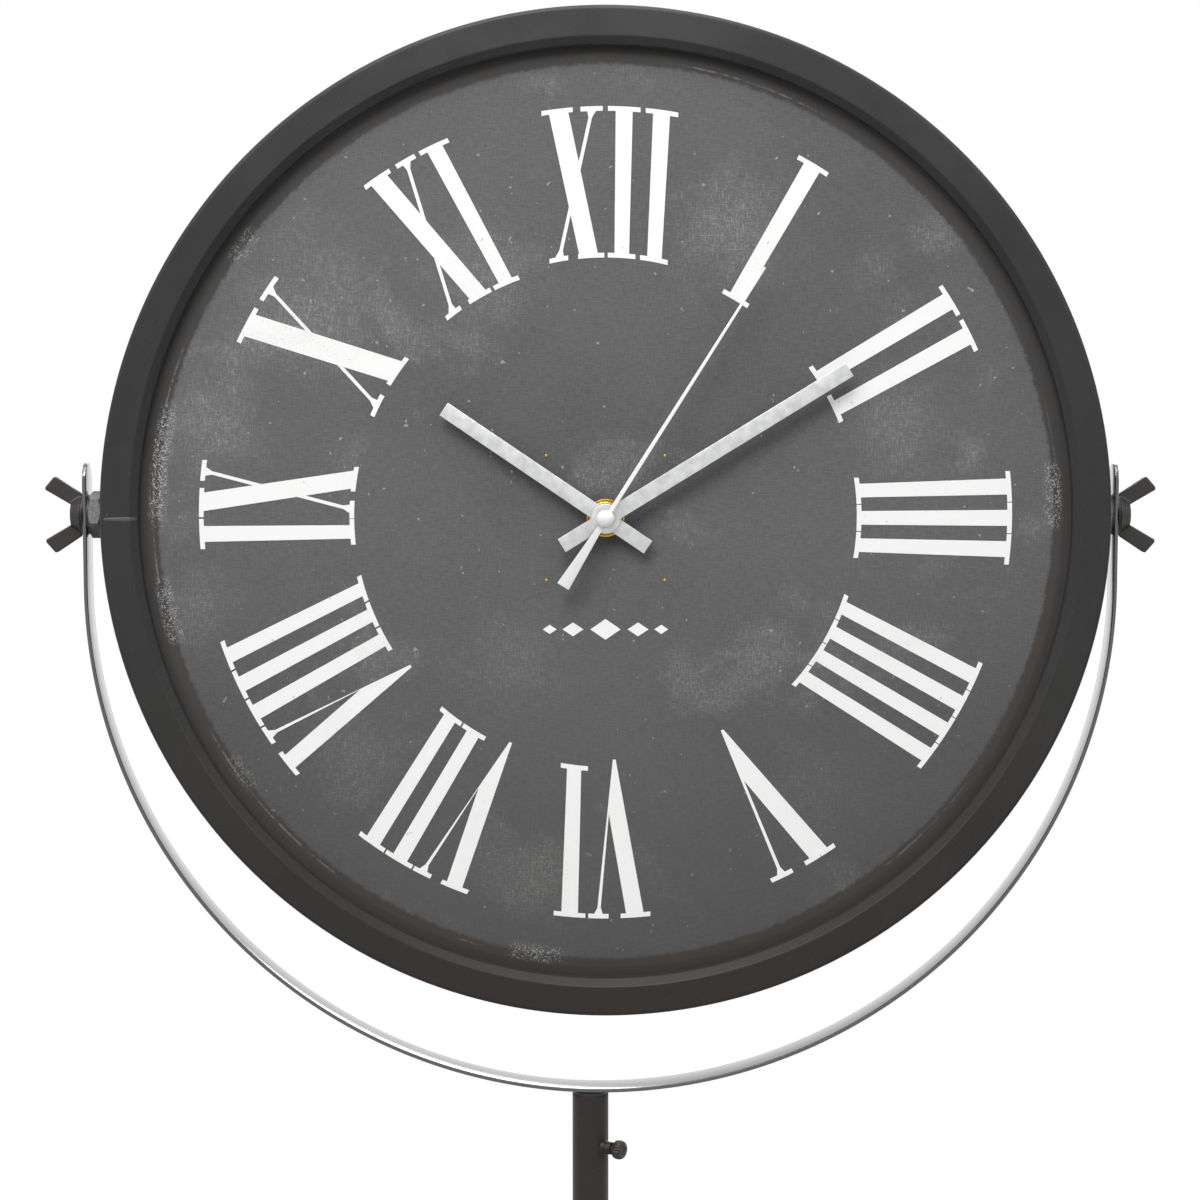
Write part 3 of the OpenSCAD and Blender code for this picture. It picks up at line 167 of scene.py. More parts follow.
class Web:
    """Adds nodes to a node tree and links what it is given."""

    def __init__(self, tree):
        self.tree = tree

    def put(self, kind, values=None, **settings):
        made = self.tree.nodes.new(kind)
        for key, value in settings.items():
            setattr(made, key, value)
        for key, value in (values or {}).items():
            self.feed(made, key, value)
        return made

    def feed(self, node, key, value):
        if isinstance(value, bpy.types.NodeSocket):
            self.tree.links.new(value, node.inputs[key])
        else:
            node.inputs[key].default_value = value

    def math(self, operation, a, b=0.0, c=0.0):
        return self.put("ShaderNodeMath", {0: a, 1: b, 2: c}, operation=operation).outputs[0]

    def times(self, a, b):
        return self.math("MULTIPLY", a, b)

    def vector(self, operation, a, b=(0, 0, 0)):
        return self.put("ShaderNodeVectorMath", {0: a, 1: b}, operation=operation).outputs[0]

    def length(self, a):
        return self.put("ShaderNodeVectorMath", {0: a}, operation="LENGTH").outputs["Value"]

    def distance(self, a, b):
        return self.put("ShaderNodeVectorMath", {0: a, 1: b}, operation="DISTANCE").outputs["Value"]

    def part(self, a, number):
        return self.put("ShaderNodeSeparateXYZ", {0: a}).outputs[number]

    def noise(self, where, scale, detail=2.0, rough=0.5, distortion=0.0):
        return self.put("ShaderNodeTexNoise", {
            "Vector": where, "Scale": scale, "Detail": detail, "Roughness": rough,
            "Distortion": distortion}).outputs["Fac"]

    def ramp(self, value, low, high):
        return self.put("ShaderNodeMapRange", {"Value": value, "From Min": low, "From Max": high},
                        interpolation_type="SMOOTHSTEP").outputs["Result"]

    def mix(self, factor, a, b):
        made = self.put("ShaderNodeMix", data_type="RGBA")
        for key, value in ((0, factor), (6, a), (7, b)):
            self.feed(made, key, value)
        return made.outputs[2]

    def bump(self, height, strength, distance):
        return self.put("ShaderNodeBump", {"Height": height, "Strength": strength,
                                           "Distance": distance}).outputs["Normal"]


SOCKETS = {"vector": "NodeSocketVector", "float": "NodeSocketFloat", "colour": "NodeSocketColor"}
FINISH_OUTPUTS = (("Colour", "colour"), ("Roughness", "float"), ("Normal", "vector"))


def group(name, inputs, outputs, build):
    """A shared shader group with named sockets, built on first use."""
    made = bpy.data.node_groups.get(name)
    if made:
        return made
    made = bpy.data.node_groups.new(name, "ShaderNodeTree")
    for label, kind in inputs:
        made.interface.new_socket(label, in_out="INPUT", socket_type=SOCKETS[kind])
    for label, kind in outputs:
        made.interface.new_socket(label, in_out="OUTPUT", socket_type=SOCKETS[kind])
    web = Web(made)
    start = web.put("NodeGroupInput")
    results = build(web, start.outputs)
    web.put("NodeGroupOutput", results)
    return made


def painted_steel():
    def build(web, given):
        where = given["Vector"]
        cloud = web.noise(where, 26.0, 3.0)
        orange_peel = web.noise(where, 950.0, 1.0)
        fleck = web.ramp(web.noise(where, 1500.0, 2.0), 0.66, 0.74)
        tone = web.mix(web.ramp(cloud, 0.35, 0.7), given["Colour"], given["Tint"])
        dust = web.times(fleck, given["Dust"])
        pale = (0.35, 0.35, 0.35, 1)
        rough = web.math("ADD", given["Roughness"], web.times(web.math("SUBTRACT", cloud, 0.5), 0.16))
        rough = web.math("ADD", rough, web.times(orange_peel, 0.05))
        return {"Colour": web.mix(dust, tone, pale), "Roughness": rough,
                "Normal": web.bump(orange_peel, 0.22, 0.00012)}

    return group("Painted steel", (("Vector", "vector"), ("Colour", "colour"), ("Tint", "colour"),
                                   ("Dust", "float"), ("Roughness", "float")), FINISH_OUTPUTS, build)


def brushed_metal():
    def build(web, given):
        drawn = web.vector("MULTIPLY", given["Vector"], given["Grain"])
        line = web.noise(drawn, 1.0, 3.0, 0.6)
        stain = web.noise(given["Vector"], given["Stain"], 3.0)
        tone = web.mix(web.ramp(stain, 0.3, 0.75), given["Colour"], given["Tint"])
        rough = web.math("ADD", given["Roughness"], web.times(web.math("SUBTRACT", line, 0.5), 0.3))
        rough = web.math("ADD", rough, web.times(stain, 0.08))
        return {"Colour": tone, "Roughness": rough, "Normal": web.bump(line, 0.12, 0.00006)}

    return group("Brushed metal", (("Vector", "vector"), ("Grain", "vector"), ("Colour", "colour"),
                                   ("Tint", "colour"), ("Roughness", "float"), ("Stain", "float")),
                 FINISH_OUTPUTS, build)


def moulded_plastic():
    def build(web, given):
        grain = web.noise(given["Vector"], 1800.0, 2.0)
        flow = web.noise(given["Vector"], 45.0, 2.0)
        tone = web.mix(web.ramp(flow, 0.3, 0.8), given["Colour"], given["Tint"])
        rough = web.math("ADD", given["Roughness"], web.times(grain, 0.14))
        return {"Colour": tone, "Roughness": rough, "Normal": web.bump(grain, given["Relief"], 0.00008)}

    return group("Moulded plastic", (("Vector", "vector"), ("Colour", "colour"), ("Tint", "colour"),
                                     ("Roughness", "float"), ("Relief", "float")), FINISH_OUTPUTS, build)


# Rubbed places of the print: x and z from the dial's centre, radius, strength
RUBBED_PLACES = (
    (-0.170, 0.040, 0.026, 0.8), (-0.176, -0.036, 0.020, 0.6), (-0.132, 0.089, 0.042, 0.55),
    (0.052, 0.124, 0.030, 0.8), (-0.050, 0.104, 0.030, 0.65), (0.141, 0.122, 0.016, 0.7),
    (0.126, 0.040, 0.026, 0.6), (-0.032, -0.160, 0.019, 1.0), (0.184, -0.004, 0.008, 0.5),
    (-0.108, -0.106, 0.026, 0.7), (-0.040, -0.062, 0.030, 0.35), (0.086, -0.120, 0.030, 0.3),
)
# Frayed stretches of the border: degrees clockwise from twelve, half their length in degrees, strength
FRAYED = ((258, 5, 0.7), (277, 9, 0.8), (189, 4, 0.6), (87, 5, 0.6), (307, 3, 0.4), (235, 3, 0.3))
# Radii between which each printed ring comes in or fades out
BORDER_START = (0.1908, 0.1926)
OUTER_BAND = (0.1955, 0.1962)
CREAM_INNER, CREAM_OUTER = (0.1933, 0.1935), (0.1943, 0.1940)
FRAY_INNER, FRAY_OUTER = (0.1868, 0.1904), (0.1964, 0.1942)


def rubbed_print():
    """Where the print is worn: soft places with fine upright and slanted scuffs, and single specks."""
    masks = ("Worn", "Patch", "Specks", "Cloud", "Weave", "Grit")

    def build(web, given):
        where = given["Vector"]
        flat = web.vector("MULTIPLY", web.vector("SUBTRACT", where, tuple(HEAD)), (1, 0, 1))
        place = web.noise(where, 15.0, 5.0, 0.6, 0.4)
        breakup = web.noise(where, 60.0, 4.0, 0.65)
        patch = web.times(web.ramp(place, 0.55, 0.72), 0.8)
        for x, z, radius, strength in RUBBED_PLACES:
            apart = web.distance(flat, (x, 0, z))
            wavy = web.math("MULTIPLY_ADD", breakup, 1.6 * radius, apart)
            patch = web.math("MULTIPLY_ADD", web.ramp(wavy, radius * 1.9, radius * 0.8), strength, patch)
        patch = web.math("MINIMUM", patch, 1.0)
        upright = web.noise(web.vector("MULTIPLY", where, (1900.0, 1.0, 230.0)), 1.0, 3.0, 0.65)
        level = web.noise(web.vector("MULTIPLY", where, (260.0, 1.0, 1700.0)), 1.0, 2.0, 0.6)
        turned = web.put("ShaderNodeMapping", {"Vector": where, "Rotation": (0, 0.8, 0),
                                               "Scale": (1700.0, 1.0, 150.0)}).outputs[0]
        slanted = web.noise(turned, 1.0, 3.0, 0.7)
        grit = web.ramp(web.noise(where, 1300.0, 3.0, 0.7), 0.57, 0.65)
        scuffs = web.math("MAXIMUM", web.ramp(upright, 0.55, 0.64), web.ramp(slanted, 0.59, 0.68))
        scuffs = web.math("MAXIMUM", scuffs, web.times(web.ramp(level, 0.57, 0.66), 0.8))
        scuffs = web.math("MAXIMUM", scuffs, grit)
        specks = web.ramp(web.noise(where, 330.0, 2.0, 0.5), 0.735, 0.765)
        worn = web.times(patch, scuffs)
        cloud = web.noise(where, 7.0, 5.0, 0.6)
        weave = web.math("ADD", upright, level)
        return dict(zip(masks, (worn, patch, specks, cloud, weave, grit)))

    return group("Rubbed print", (("Vector", "vector"),), [(label, "float") for label in masks], build)


# Materials, one for each finish

def new_material(name):
    made = bpy.data.materials.new(name)
    made.use_nodes = True
    made.node_tree.nodes.clear()
    web = Web(made.node_tree)
    shader = web.put("ShaderNodeBsdfPrincipled")
    web.put("ShaderNodeOutputMaterial", {"Surface": shader.outputs[0]})
    where = web.put("ShaderNodeTexCoord").outputs["Object"]
    return made, web, shader, where


def join(web, shader, made):
    for output, socket in (("Colour", "Base Color"), ("Roughness", "Roughness"), ("Normal", "Normal")):
        web.feed(shader, socket, made.outputs[output])


def placed(web, shared, values):
    """A shared group as a node of this material, with its own values."""
    return web.put("ShaderNodeGroup", values, node_tree=shared)


def tinted(base, factor, warm=0.0):
    """A neighbour of a written colour, as a linear colour."""
    red, green, blue = (v * factor for v in base)
    return linear([min(1, red + warm), min(1, green), min(1, blue - warm / 2)])


def enamel(name, base, roughness, dust, warm=0.0, factor=0.9, gloss=0.28, coat=0.0):
    made, web, shader, where = new_material(name)
    shader.inputs["Specular IOR Level"].default_value = gloss
    shader.inputs["Coat Weight"].default_value = coat
    shader.inputs["Coat Roughness"].default_value = 0.08
    join(web, shader, placed(web, painted_steel(), {
        "Vector": where, "Colour": linear(base), "Tint": tinted(base, factor, warm), "Dust": dust,
        "Roughness": roughness}))
    return made


def rim_enamel():
    """Satin black; drawn darker and slightly brown towards the bottom of the case as painted shade, and
    lighter towards the top as painted light.
    """
    c = colours()
    made, web, shader, where = new_material("Rim enamel")
    shader.inputs["Specular IOR Level"].default_value = 0.12
    high = web.part(where, 2)
    # Painted shade and light: these masks darken and brown the enamel towards the bottom of the case and
    # lighten it towards the top
    low = web.ramp(high, HEAD.z - 0.02, HEAD.z - 0.22)
    top = web.ramp(high, HEAD.z + 0.10, HEAD.z + 0.21)
    base = web.mix(low, linear(c.rim), linear(c.rim_low_painted_shade))
    base = web.mix(top, base, linear(c.rim_top_painted_light))
    join(web, shader, placed(web, painted_steel(), {
        "Vector": where, "Colour": base, "Tint": web.mix(0.5, base, tinted(c.rim, 0.86)), "Dust": 0.10,
        "Roughness": 0.32}))
    return made


def metal(name, base, roughness, grain=(300, 300, 300), warm=0.0, factor=0.9, metallic=1.0, stain=60.0):
    made, web, shader, where = new_material(name)
    join(web, shader, placed(web, brushed_metal(), {
        "Vector": where, "Grain": grain, "Colour": linear(base), "Tint": tinted(base, factor, warm),
        "Roughness": roughness, "Stain": stain}))
    shader.inputs["Metallic"].default_value = metallic
    return made


def plastic(name, base, roughness, relief=0.1, warm=0.0, factor=0.9):
    made, web, shader, where = new_material(name)
    join(web, shader, placed(web, moulded_plastic(), {
        "Vector": where, "Colour": linear(base), "Tint": tinted(base, factor, warm),
        "Roughness": roughness, "Relief": relief}))
    return made


def dial_print():
    """The dial's printed face: clouded slate grey with scuffs, a brown border and a broken cream ring,
    with painted shade on the lower ground and on the upper border.
    """
    c = colours()
    made, web, shader, where = new_material("Dial print")
    wear = placed(web, rubbed_print(), {"Vector": where}).outputs
    flat = web.vector("MULTIPLY", web.vector("SUBTRACT", where, tuple(HEAD)), (1, 0, 1))
    radius = web.length(flat)
    low = web.part(flat, 2)
    direction = web.vector("NORMALIZE", flat)
    across = web.put("ShaderNodeCombineXYZ", {"Y": web.times(radius, 1500.0)}).outputs[0]
    around = web.vector("MULTIPLY", direction, (7, 7, 7))
    rings = web.noise(web.vector("ADD", around, across), 1.0, 3.0, 0.6)
    stretch = web.noise(direction, 2.6, 3.0, 0.6)
    ragged = web.noise(where, 420.0, 4.0, 0.75)
    edge = web.math("MULTIPLY_ADD", web.math("SUBTRACT", ragged, 0.5), 0.004, radius)

    ground = web.mix(web.ramp(wear["Cloud"], 0.3, 0.7), tinted(c.dial, 0.93), tinted(c.dial, 1.07))
    weave = web.ramp(wear["Weave"], 0.7, 1.3)
    for mask, amount in ((weave, 0.10), (wear["Patch"], 0.10), (wear["Worn"], 0.46),
                         (wear["Specks"], 0.6)):
        ground = web.mix(web.times(mask, amount), ground, linear(c.chalk))
    # Painted shade: the ground is drawn darker and slightly warmer towards the bottom of the dial
    ground = web.mix(web.times(web.ramp(low, 0.02, -0.20), 0.5), ground, tinted(c.dial, 0.88, 0.008))

    brown = web.mix(web.ramp(rings, 0.3, 0.7), tinted(c.border, 0.94), tinted(c.border, 1.06, 0.004))
    # Painted shade: the border is drawn darker above the centre than below it, where it is lighter and
    # warmer; the darker upper part stands for the rim's shadow
    brown = web.mix(web.ramp(low, -0.10, 0.10), tinted(c.border, 1.04, 0.012), brown)
    brown = web.mix(web.times(web.ramp(radius, *OUTER_BAND), 0.8), brown, tinted(c.border, 0.98))
    border = web.times(web.ramp(edge, *BORDER_START), 0.95)
    face = web.mix(border, ground, brown)
    cream = web.times(web.ramp(radius, *CREAM_INNER), web.ramp(radius, *CREAM_OUTER))
    cream = web.times(cream, web.times(web.ramp(stretch, 0.50, 0.60), web.ramp(ragged, 0.42, 0.56)))
    face = web.mix(web.times(cream, 0.20), face, tinted(c.chalk, 1.1, 0.03))
    stretches = 0.0
    for hour_angle, reach, strength in FRAYED:
        turn = math.radians(hour_angle)
        apart = web.distance(direction, (math.sin(turn), 0, math.cos(turn)))
        reach = 2 * math.sin(math.radians(reach) / 2)
        stretches = web.math("MULTIPLY_ADD", web.ramp(apart, reach, reach * 0.6), strength, stretches)
    band = web.times(web.ramp(edge, *FRAY_INNER), web.ramp(edge, *FRAY_OUTER))
    crumbs = web.ramp(web.noise(where, 1700.0, 2.0, 0.6), 0.54, 0.60)
    fray = web.times(web.times(band, crumbs), stretches)
    face = web.mix(web.times(fray, 0.8), face, tinted(c.chalk, 1.15))
    web.feed(shader, "Base Color", face)
    rough = web.math("MULTIPLY_ADD", wear["Weave"], 0.08, 0.60)
    web.feed(shader, "Roughness", rough)
    web.feed(shader, "Normal", web.bump(wear["Weave"], 0.06, 0.0001))
    shader.inputs["Specular IOR Level"].default_value = 0.3
    return made


def numeral_print():
    c = colours()
    made, web, shader, where = new_material("White print")
    wear = placed(web, rubbed_print(), {"Vector": where}).outputs
    face = web.mix(web.times(wear["Patch"], 0.10), linear(c.print_white), linear(c.chalk))
    lost = web.times(web.math("MULTIPLY_ADD", wear["Patch"], 0.85, 0.06), wear["Grit"])
    face = web.mix(web.times(lost, 0.75), face, linear(c.chalk))
    face = web.mix(web.times(wear["Specks"], 0.4), face, linear(c.dial))
    web.feed(shader, "Base Color", face)
    web.feed(shader, "Roughness", web.math("MULTIPLY_ADD", wear["Weave"], 0.06, 0.55))
    web.feed(shader, "Normal", web.bump(wear["Weave"], 0.05, 0.00008))
    shader.inputs["Specular IOR Level"].default_value = 0.3
    return made


def fibreboard():
    c = colours()
    made, web, shader, where = new_material("Fibreboard")
    felt = web.noise(web.vector("MULTIPLY", where, (900, 900, 350)), 1.0, 4.0, 0.7)
    knots = web.noise(where, 300.0, 3.0)
    face = web.mix(web.ramp(felt, 0.3, 0.7), tinted(c.fibre, 0.82), tinted(c.fibre, 1.12))
    face = web.mix(web.ramp(knots, 0.62, 0.72), face, tinted(c.fibre, 0.6))
    web.feed(shader, "Base Color", face)
    web.feed(shader, "Roughness", web.math("ADD", 0.75, web.times(felt, 0.15)))
    web.feed(shader, "Normal", web.bump(felt, 0.25, 0.0002))
    return made


def battery_sleeve():
    """Dark foil with a copper band at the plus end and bare metal on the end caps."""
    c = colours()
    made, web, shader, where = new_material("Battery sleeve")
    low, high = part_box("battery")
    along = web.part(where, 0)
    scuff = web.noise(where, 500.0, 3.0)
    copper_from = high.x - 0.0135
    plus_cap, minus_cap, blur = high.x - 0.0018, low.x + 0.0006, 0.0002
    band = web.ramp(along, copper_from, copper_from + blur)
    caps = web.math("MAXIMUM", web.ramp(along, plus_cap, plus_cap + blur),
                    web.math("SUBTRACT", 1.0, web.ramp(along, minus_cap, minus_cap + blur)))
    face = web.mix(band, linear(c.sleeve), linear(c.copper))
    face = web.mix(caps, face, linear(c.zinc))
    face = web.mix(web.times(web.ramp(scuff, 0.6, 0.7), 0.2), face, linear(c.chalk))
    web.feed(shader, "Base Color", face)
    web.feed(shader, "Metallic", web.math("MAXIMUM", web.times(band, 0.75), caps))
    web.feed(shader, "Roughness", web.math("ADD", 0.24, web.times(scuff, 0.16)))
    return made


FINISHES = {
    "rim_enamel": lambda c: rim_enamel(),
    "weld_enamel": lambda c: enamel("Weld enamel", c.weld, 0.30, 0.2, 0.0, 0.8),
    "cast_enamel": lambda c: enamel("Cast enamel", c.cast, 0.34, 0.25, 0.014, 0.8, 0.45),
    "black_enamel": lambda c: enamel("Stand enamel", c.stand, 0.42, 0.12, 0.012, 0.86),
    "strap_enamel": lambda c: enamel("Strap enamel", c.stand, 0.14, 0.05, 0.012, 0.86, 1.0, 1.0),
    "dial_print": lambda c: dial_print(),
    "white_print": lambda c: numeral_print(),
    "silver": lambda c: metal("Silvered hand", c.silver, 0.42, (500, 500, 500), 0.0, 0.9, 1.0, 260.0),
    "white_enamel": lambda c: plastic("White lacquer", c.white, 0.30, 0.04, 0.0, 0.98),
    "brass": lambda c: metal("Brass", c.brass, 0.24, (900, 900, 900), 0.03, 0.92),
    "zinc": lambda c: metal("Zinc", c.zinc, 0.34, (700, 700, 700), 0.01, 0.86),
    "dark_zinc": lambda c: metal("Dull zinc", c.dark_zinc, 0.40, (1500, 1500, 1500), 0.0, 0.72, 0.35,
                                 900.0),
    "black_plastic": lambda c: plastic("Black plastic", c.plastic, 0.42, 0.22),
    "gear_plastic": lambda c: plastic("Gear plastic", c.gear, 0.36, 0.05, 0.01),
    "rubber": lambda c: plastic("Rubber", c.rubber, 0.66, 0.35, 0.01),
    "battery_sleeve": lambda c: battery_sleeve(),
    "copper_wire": lambda c: metal("Copper wire", c.copper, 0.32, (6000, 60, 60), 0.04),
    "circuit_green": lambda c: plastic("Circuit board", c.board, 0.3, 0.08),
    "fibreboard": lambda c: fibreboard(),
}
MADE = {}


def finish(slot):
    if slot not in MADE:
        MADE[slot] = FINISHES[slot](colours())
    return MADE[slot]


# Mesh helpers

def arc(centre, radius, start, stop, steps):
    """Points of an arc in a profile, angles in degrees."""
    x, y = centre
    return [(x + radius * math.cos(math.radians(a)), y + radius * math.sin(math.radians(a)))
            for a in (start + (stop - start) * i / steps for i in range(steps + 1))]


def eased(points, radius, steps=3):
    """A closed profile with its corners rounded."""
    count = len(points)
    result = []
    for i, point in enumerate(points):
        here = Vector(point)
        before = Vector(points[i - 1]) - here
        after = Vector(points[(i + 1) % count]) - here
        reach = min(radius, before.length * 0.45, after.length * 0.45)
        start = here + before.normalized() * reach
        stop = here + after.normalized() * reach
        for k in range(steps + 1):
            t = k / steps
            result.append(tuple(start * (1 - t) ** 2 + here * 2 * t * (1 - t) + stop * t ** 2))
    return result


def spun(bm, profile, origin, axis, steps=None, closed=True):
    """A profile of (radius, distance along the axis) turned around that axis."""
    steps = steps or sizes().round_steps
    axis = axis.normalized()
    side = axis.orthogonal().normalized()
    other = axis.cross(side)
    rings = []
    for radius, along in profile:
        base = origin + axis * along
        if radius < 1e-7:
            rings.append([bm.verts.new(base)])
        else:
            rings.append([bm.verts.new(base + (side * math.cos(a) + other * math.sin(a)) * radius)
                          for a in (2 * math.pi * i / steps for i in range(steps))])
    pairs = list(zip(rings, rings[1:])) + ([(rings[-1], rings[0])] if closed else [])
    for one, two in pairs:
        for i in range(steps):
            k = (i + 1) % steps
            corners = [one[i % len(one)], one[k % len(one)], two[k % len(two)], two[i % len(two)]]
            kept = [v for n, v in enumerate(corners) if v not in corners[:n]]
            if len(kept) > 2:
                bm.faces.new(kept)


def lofted(bm, rings):
    """Quads between rings of equal length, with the first and last ring closed."""
    lines = [[bm.verts.new(p) for p in ring] for ring in rings]
    for one, two in zip(lines, lines[1:]):
        for i in range(len(one)):
            k = (i + 1) % len(one)
            bm.faces.new((one[i], one[k], two[k], two[i]))
    bm.faces.new(list(reversed(lines[0])))
    bm.faces.new(lines[-1])


def hex_nut(bm, origin, axis, across_flats, thickness, bore, turn):
    """A hex nut with the round chamfer that leaves an arc on each flat."""
    steps = 96
    axis = axis.normalized()
    side = Matrix.Rotation(turn, 3, axis) @ axis.orthogonal().normalized()
    other = axis.cross(side)
    flat = across_flats / 2
    start = flat * 0.96
    slope = math.tan(math.radians(28))
    lip = 0.0004
    rings = [[] for _ in range(8)]
    for i in range(steps):
        a = 2 * math.pi * i / steps
        corner = flat / math.cos((a + math.pi / 6) % (math.pi / 3) - math.pi / 6)
        cut = max(corner - start, 0) * slope + 0.00005
        spoke = side * math.cos(a) + other * math.sin(a)
        outline = [(bore, lip), (bore + lip, 0), (start, 0), (corner, cut), (corner, thickness - cut),
                   (start, thickness), (bore + lip, thickness), (bore, thickness - lip)]
        for ring, (radius, along) in zip(rings, outline):
            ring.append(bm.verts.new(origin + axis * along + spoke * radius))
    for one, two in zip(rings, rings[1:] + rings[:1]):
        for i in range(steps):
            k = (i + 1) % steps
            bm.faces.new((one[i], one[k], two[k], two[i]))


def piece(name, bm, body, slot, replaces=(), sharp=32.0, second=None, where=None, finish_name=None):
    """Turns a bmesh into a finished piece that rides on a CAD body."""
    bmesh.ops.recalc_face_normals(bm, faces=bm.faces)
    mesh = bpy.data.meshes.new(name)
    mesh.materials.append(finish(finish_name or slot))
    if second:
        mesh.materials.append(finish(second))
        for face in bm.faces:
            face.material_index = 1 if where(face) else 0
    bm.to_mesh(mesh)
    bm.free()
    for polygon in mesh.polygons:
        polygon.use_smooth = True
    mesh.set_sharp_from_angle(angle=math.radians(sharp))
    made = bpy.data.objects.new(name.replace(" ", "_"), mesh)
    bpy.context.scene.collection.objects.link(made)
    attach(made, body)
    if replaces:
        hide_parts(*replaces)
    return made


def turned(name, node, profile, origin, axis, body, slot, sharp=50, steps=None, closed=True, **more):
    """A turned piece that stands for a CAD node."""
    bm = bmesh.new()
    spun(bm, profile, origin, axis, steps, closed)
    return piece(name, bm, body, slot, (node,), sharp, **more)


def spoken(node):
    return node.replace("_", " ").capitalize()


def slot_of(node):
    for entry in frame["record"]["subparts"]:
        if entry["node"] == node:
            return entry["material_slot"]
    raise RuntimeError("no material slot for " + node)


def node_mesh(node):
    """A clean copy of a CAD node's mesh: joined corners, flat faces in one piece."""
    bm = bmesh.new()
    bm.from_mesh(NODES[node].data)
    bmesh.ops.remove_doubles(bm, verts=bm.verts, dist=2e-6)
    bmesh.ops.dissolve_limit(bm, angle_limit=math.radians(0.6), verts=bm.verts, edges=bm.edges)
    return bm


def softened(node, width, segments=2, angle=32.0, name=None):
    """A CAD node's shape with its sharp edges rounded, which stands for that node."""
    bm = node_mesh(node)
    sharp = [e for e in bm.edges if len(e.link_faces) == 2 and e.calc_face_angle() > math.radians(angle)]
    bmesh.ops.bevel(bm, geom=sharp, offset=width, segments=segments, profile=0.6, affect="EDGES",
                    clamp_overlap=True)
    return piece(name or spoken(node), bm, NODES[node]["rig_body"], slot_of(node), (node,))


def keep(*names):
    """CAD nodes that stay as they are and get their finish."""
    for name in names:
        mesh = NODES[name].data
        mesh.materials.clear()
        mesh.materials.append(finish(slot_of(name)))


# Light and camera: each lamp has its place, its target, its width and its power

AMBIENT = 0.155
LAMPS = (
    ("Top lamp", (-0.2, -1.2, 2.2), (0, -0.06, 0.85), 1.0, 22.0),
    ("Ceiling lamp", (0.0, -0.35, 2.4), (0, -0.09, 0.62), 1.5, 17.5),
    ("Left lamp", (-1.2, -1.3, 2.0), (0, -0.06, 0.8), 1.0, 14.5),
    ("Right lamp", (1.5, -1.3, 1.8), (0, -0.06, 0.8), 1.0, 8.5),
    ("Back lamp", (0.5, 1.9, 1.9), (0, 0, 0.7), 1.4, 22.0),
)
CAMERA_PLACE = (-0.0011, -1.35, 0.9102)
CAMERA_PITCH = 0.1015
CAMERA_YAW = -0.0007
CAMERA_LENS = 88.51
CAMERA_SHIFT = 0.035


# Operators: one for each piece or group of like pieces, and one for the stage

class CLOCK_OT_stage(bpy.types.Operator):
    """Floor, lamps, white surroundings and the camera"""
    bl_idname = "clock.stage"
    bl_label = "Stage"

    def execute(self, context):
        floor_mesh = bpy.data.meshes.new("Floor")
        bm = bmesh.new()
        bmesh.ops.create_circle(bm, cap_ends=True, segments=96, radius=1.6)
        bm.to_mesh(floor_mesh)
        bm.free()
        floor = bpy.data.objects.new("Floor", floor_mesh)
        floor.location = (0, 0, -0.0005)
        context.scene.collection.objects.link(floor)
        paper = bpy.data.materials.new("Floor paper")
        paper.use_nodes = True
        web = Web(paper.node_tree)
        web.tree.nodes.clear()
        where = web.put("ShaderNodeTexCoord").outputs["Object"]
        reach = web.length(where)
        matt = web.put("ShaderNodeBsdfDiffuse", {"Color": (0.80, 0.80, 0.80, 1)})
        white = web.put("ShaderNodeEmission", {"Color": (1, 1, 1, 1), "Strength": 1.0})
        path = web.put("ShaderNodeLightPath")
        seen = web.math("MAXIMUM", path.outputs["Is Camera Ray"], path.outputs["Is Glossy Ray"])
        fade = web.times(web.ramp(reach, 0.5, 1.5), seen)
        blend = web.put("ShaderNodeMixShader", {0: fade, 1: matt.outputs[0], 2: white.outputs[0]})
        web.put("ShaderNodeOutputMaterial", {"Surface": blend.outputs[0]})
        floor_mesh.materials.append(paper)

        world = context.scene.world or bpy.data.worlds.new("Studio")
        context.scene.world = world
        world.use_nodes = True
        web = Web(world.node_tree)
        web.tree.nodes.clear()
        path = web.put("ShaderNodeLightPath")
        seen = web.math("MAXIMUM", path.outputs["Is Camera Ray"], path.outputs["Is Glossy Ray"])
        seen = web.math("MAXIMUM", seen, path.outputs["Is Transmission Ray"])
        strength = web.math("MULTIPLY_ADD", seen, 1.0 - AMBIENT, AMBIENT)
        sky = web.put("ShaderNodeBackground", {"Color": (1, 1, 1, 1), "Strength": strength})
        web.put("ShaderNodeOutputWorld", {"Surface": sky.outputs[0]})

        for name, place, target, width, power in LAMPS:
            light = bpy.data.lights.new(name, "AREA")
            light.shape = "DISK"
            light.size = width
            light.energy = power
            lamp = bpy.data.objects.new(name, light)
            lamp.location = place
            lamp.rotation_euler = (Vector(target) - Vector(place)).to_track_quat("-Z", "Y").to_euler()
            context.scene.collection.objects.link(lamp)

        view = bpy.data.cameras.new("Camera")
        view.sensor_width = 36.0
        view.lens = CAMERA_LENS
        view.shift_y = CAMERA_SHIFT
        view.clip_start = 0.05
        camera = bpy.data.objects.new("Camera", view)
        camera.location = CAMERA_PLACE
        camera.rotation_euler = (math.pi / 2 - CAMERA_PITCH, 0, CAMERA_YAW)
        context.scene.collection.objects.link(camera)
        context.scene.camera = camera
        context.scene.view_settings.view_transform = "Standard"
        return {"FINISHED"}


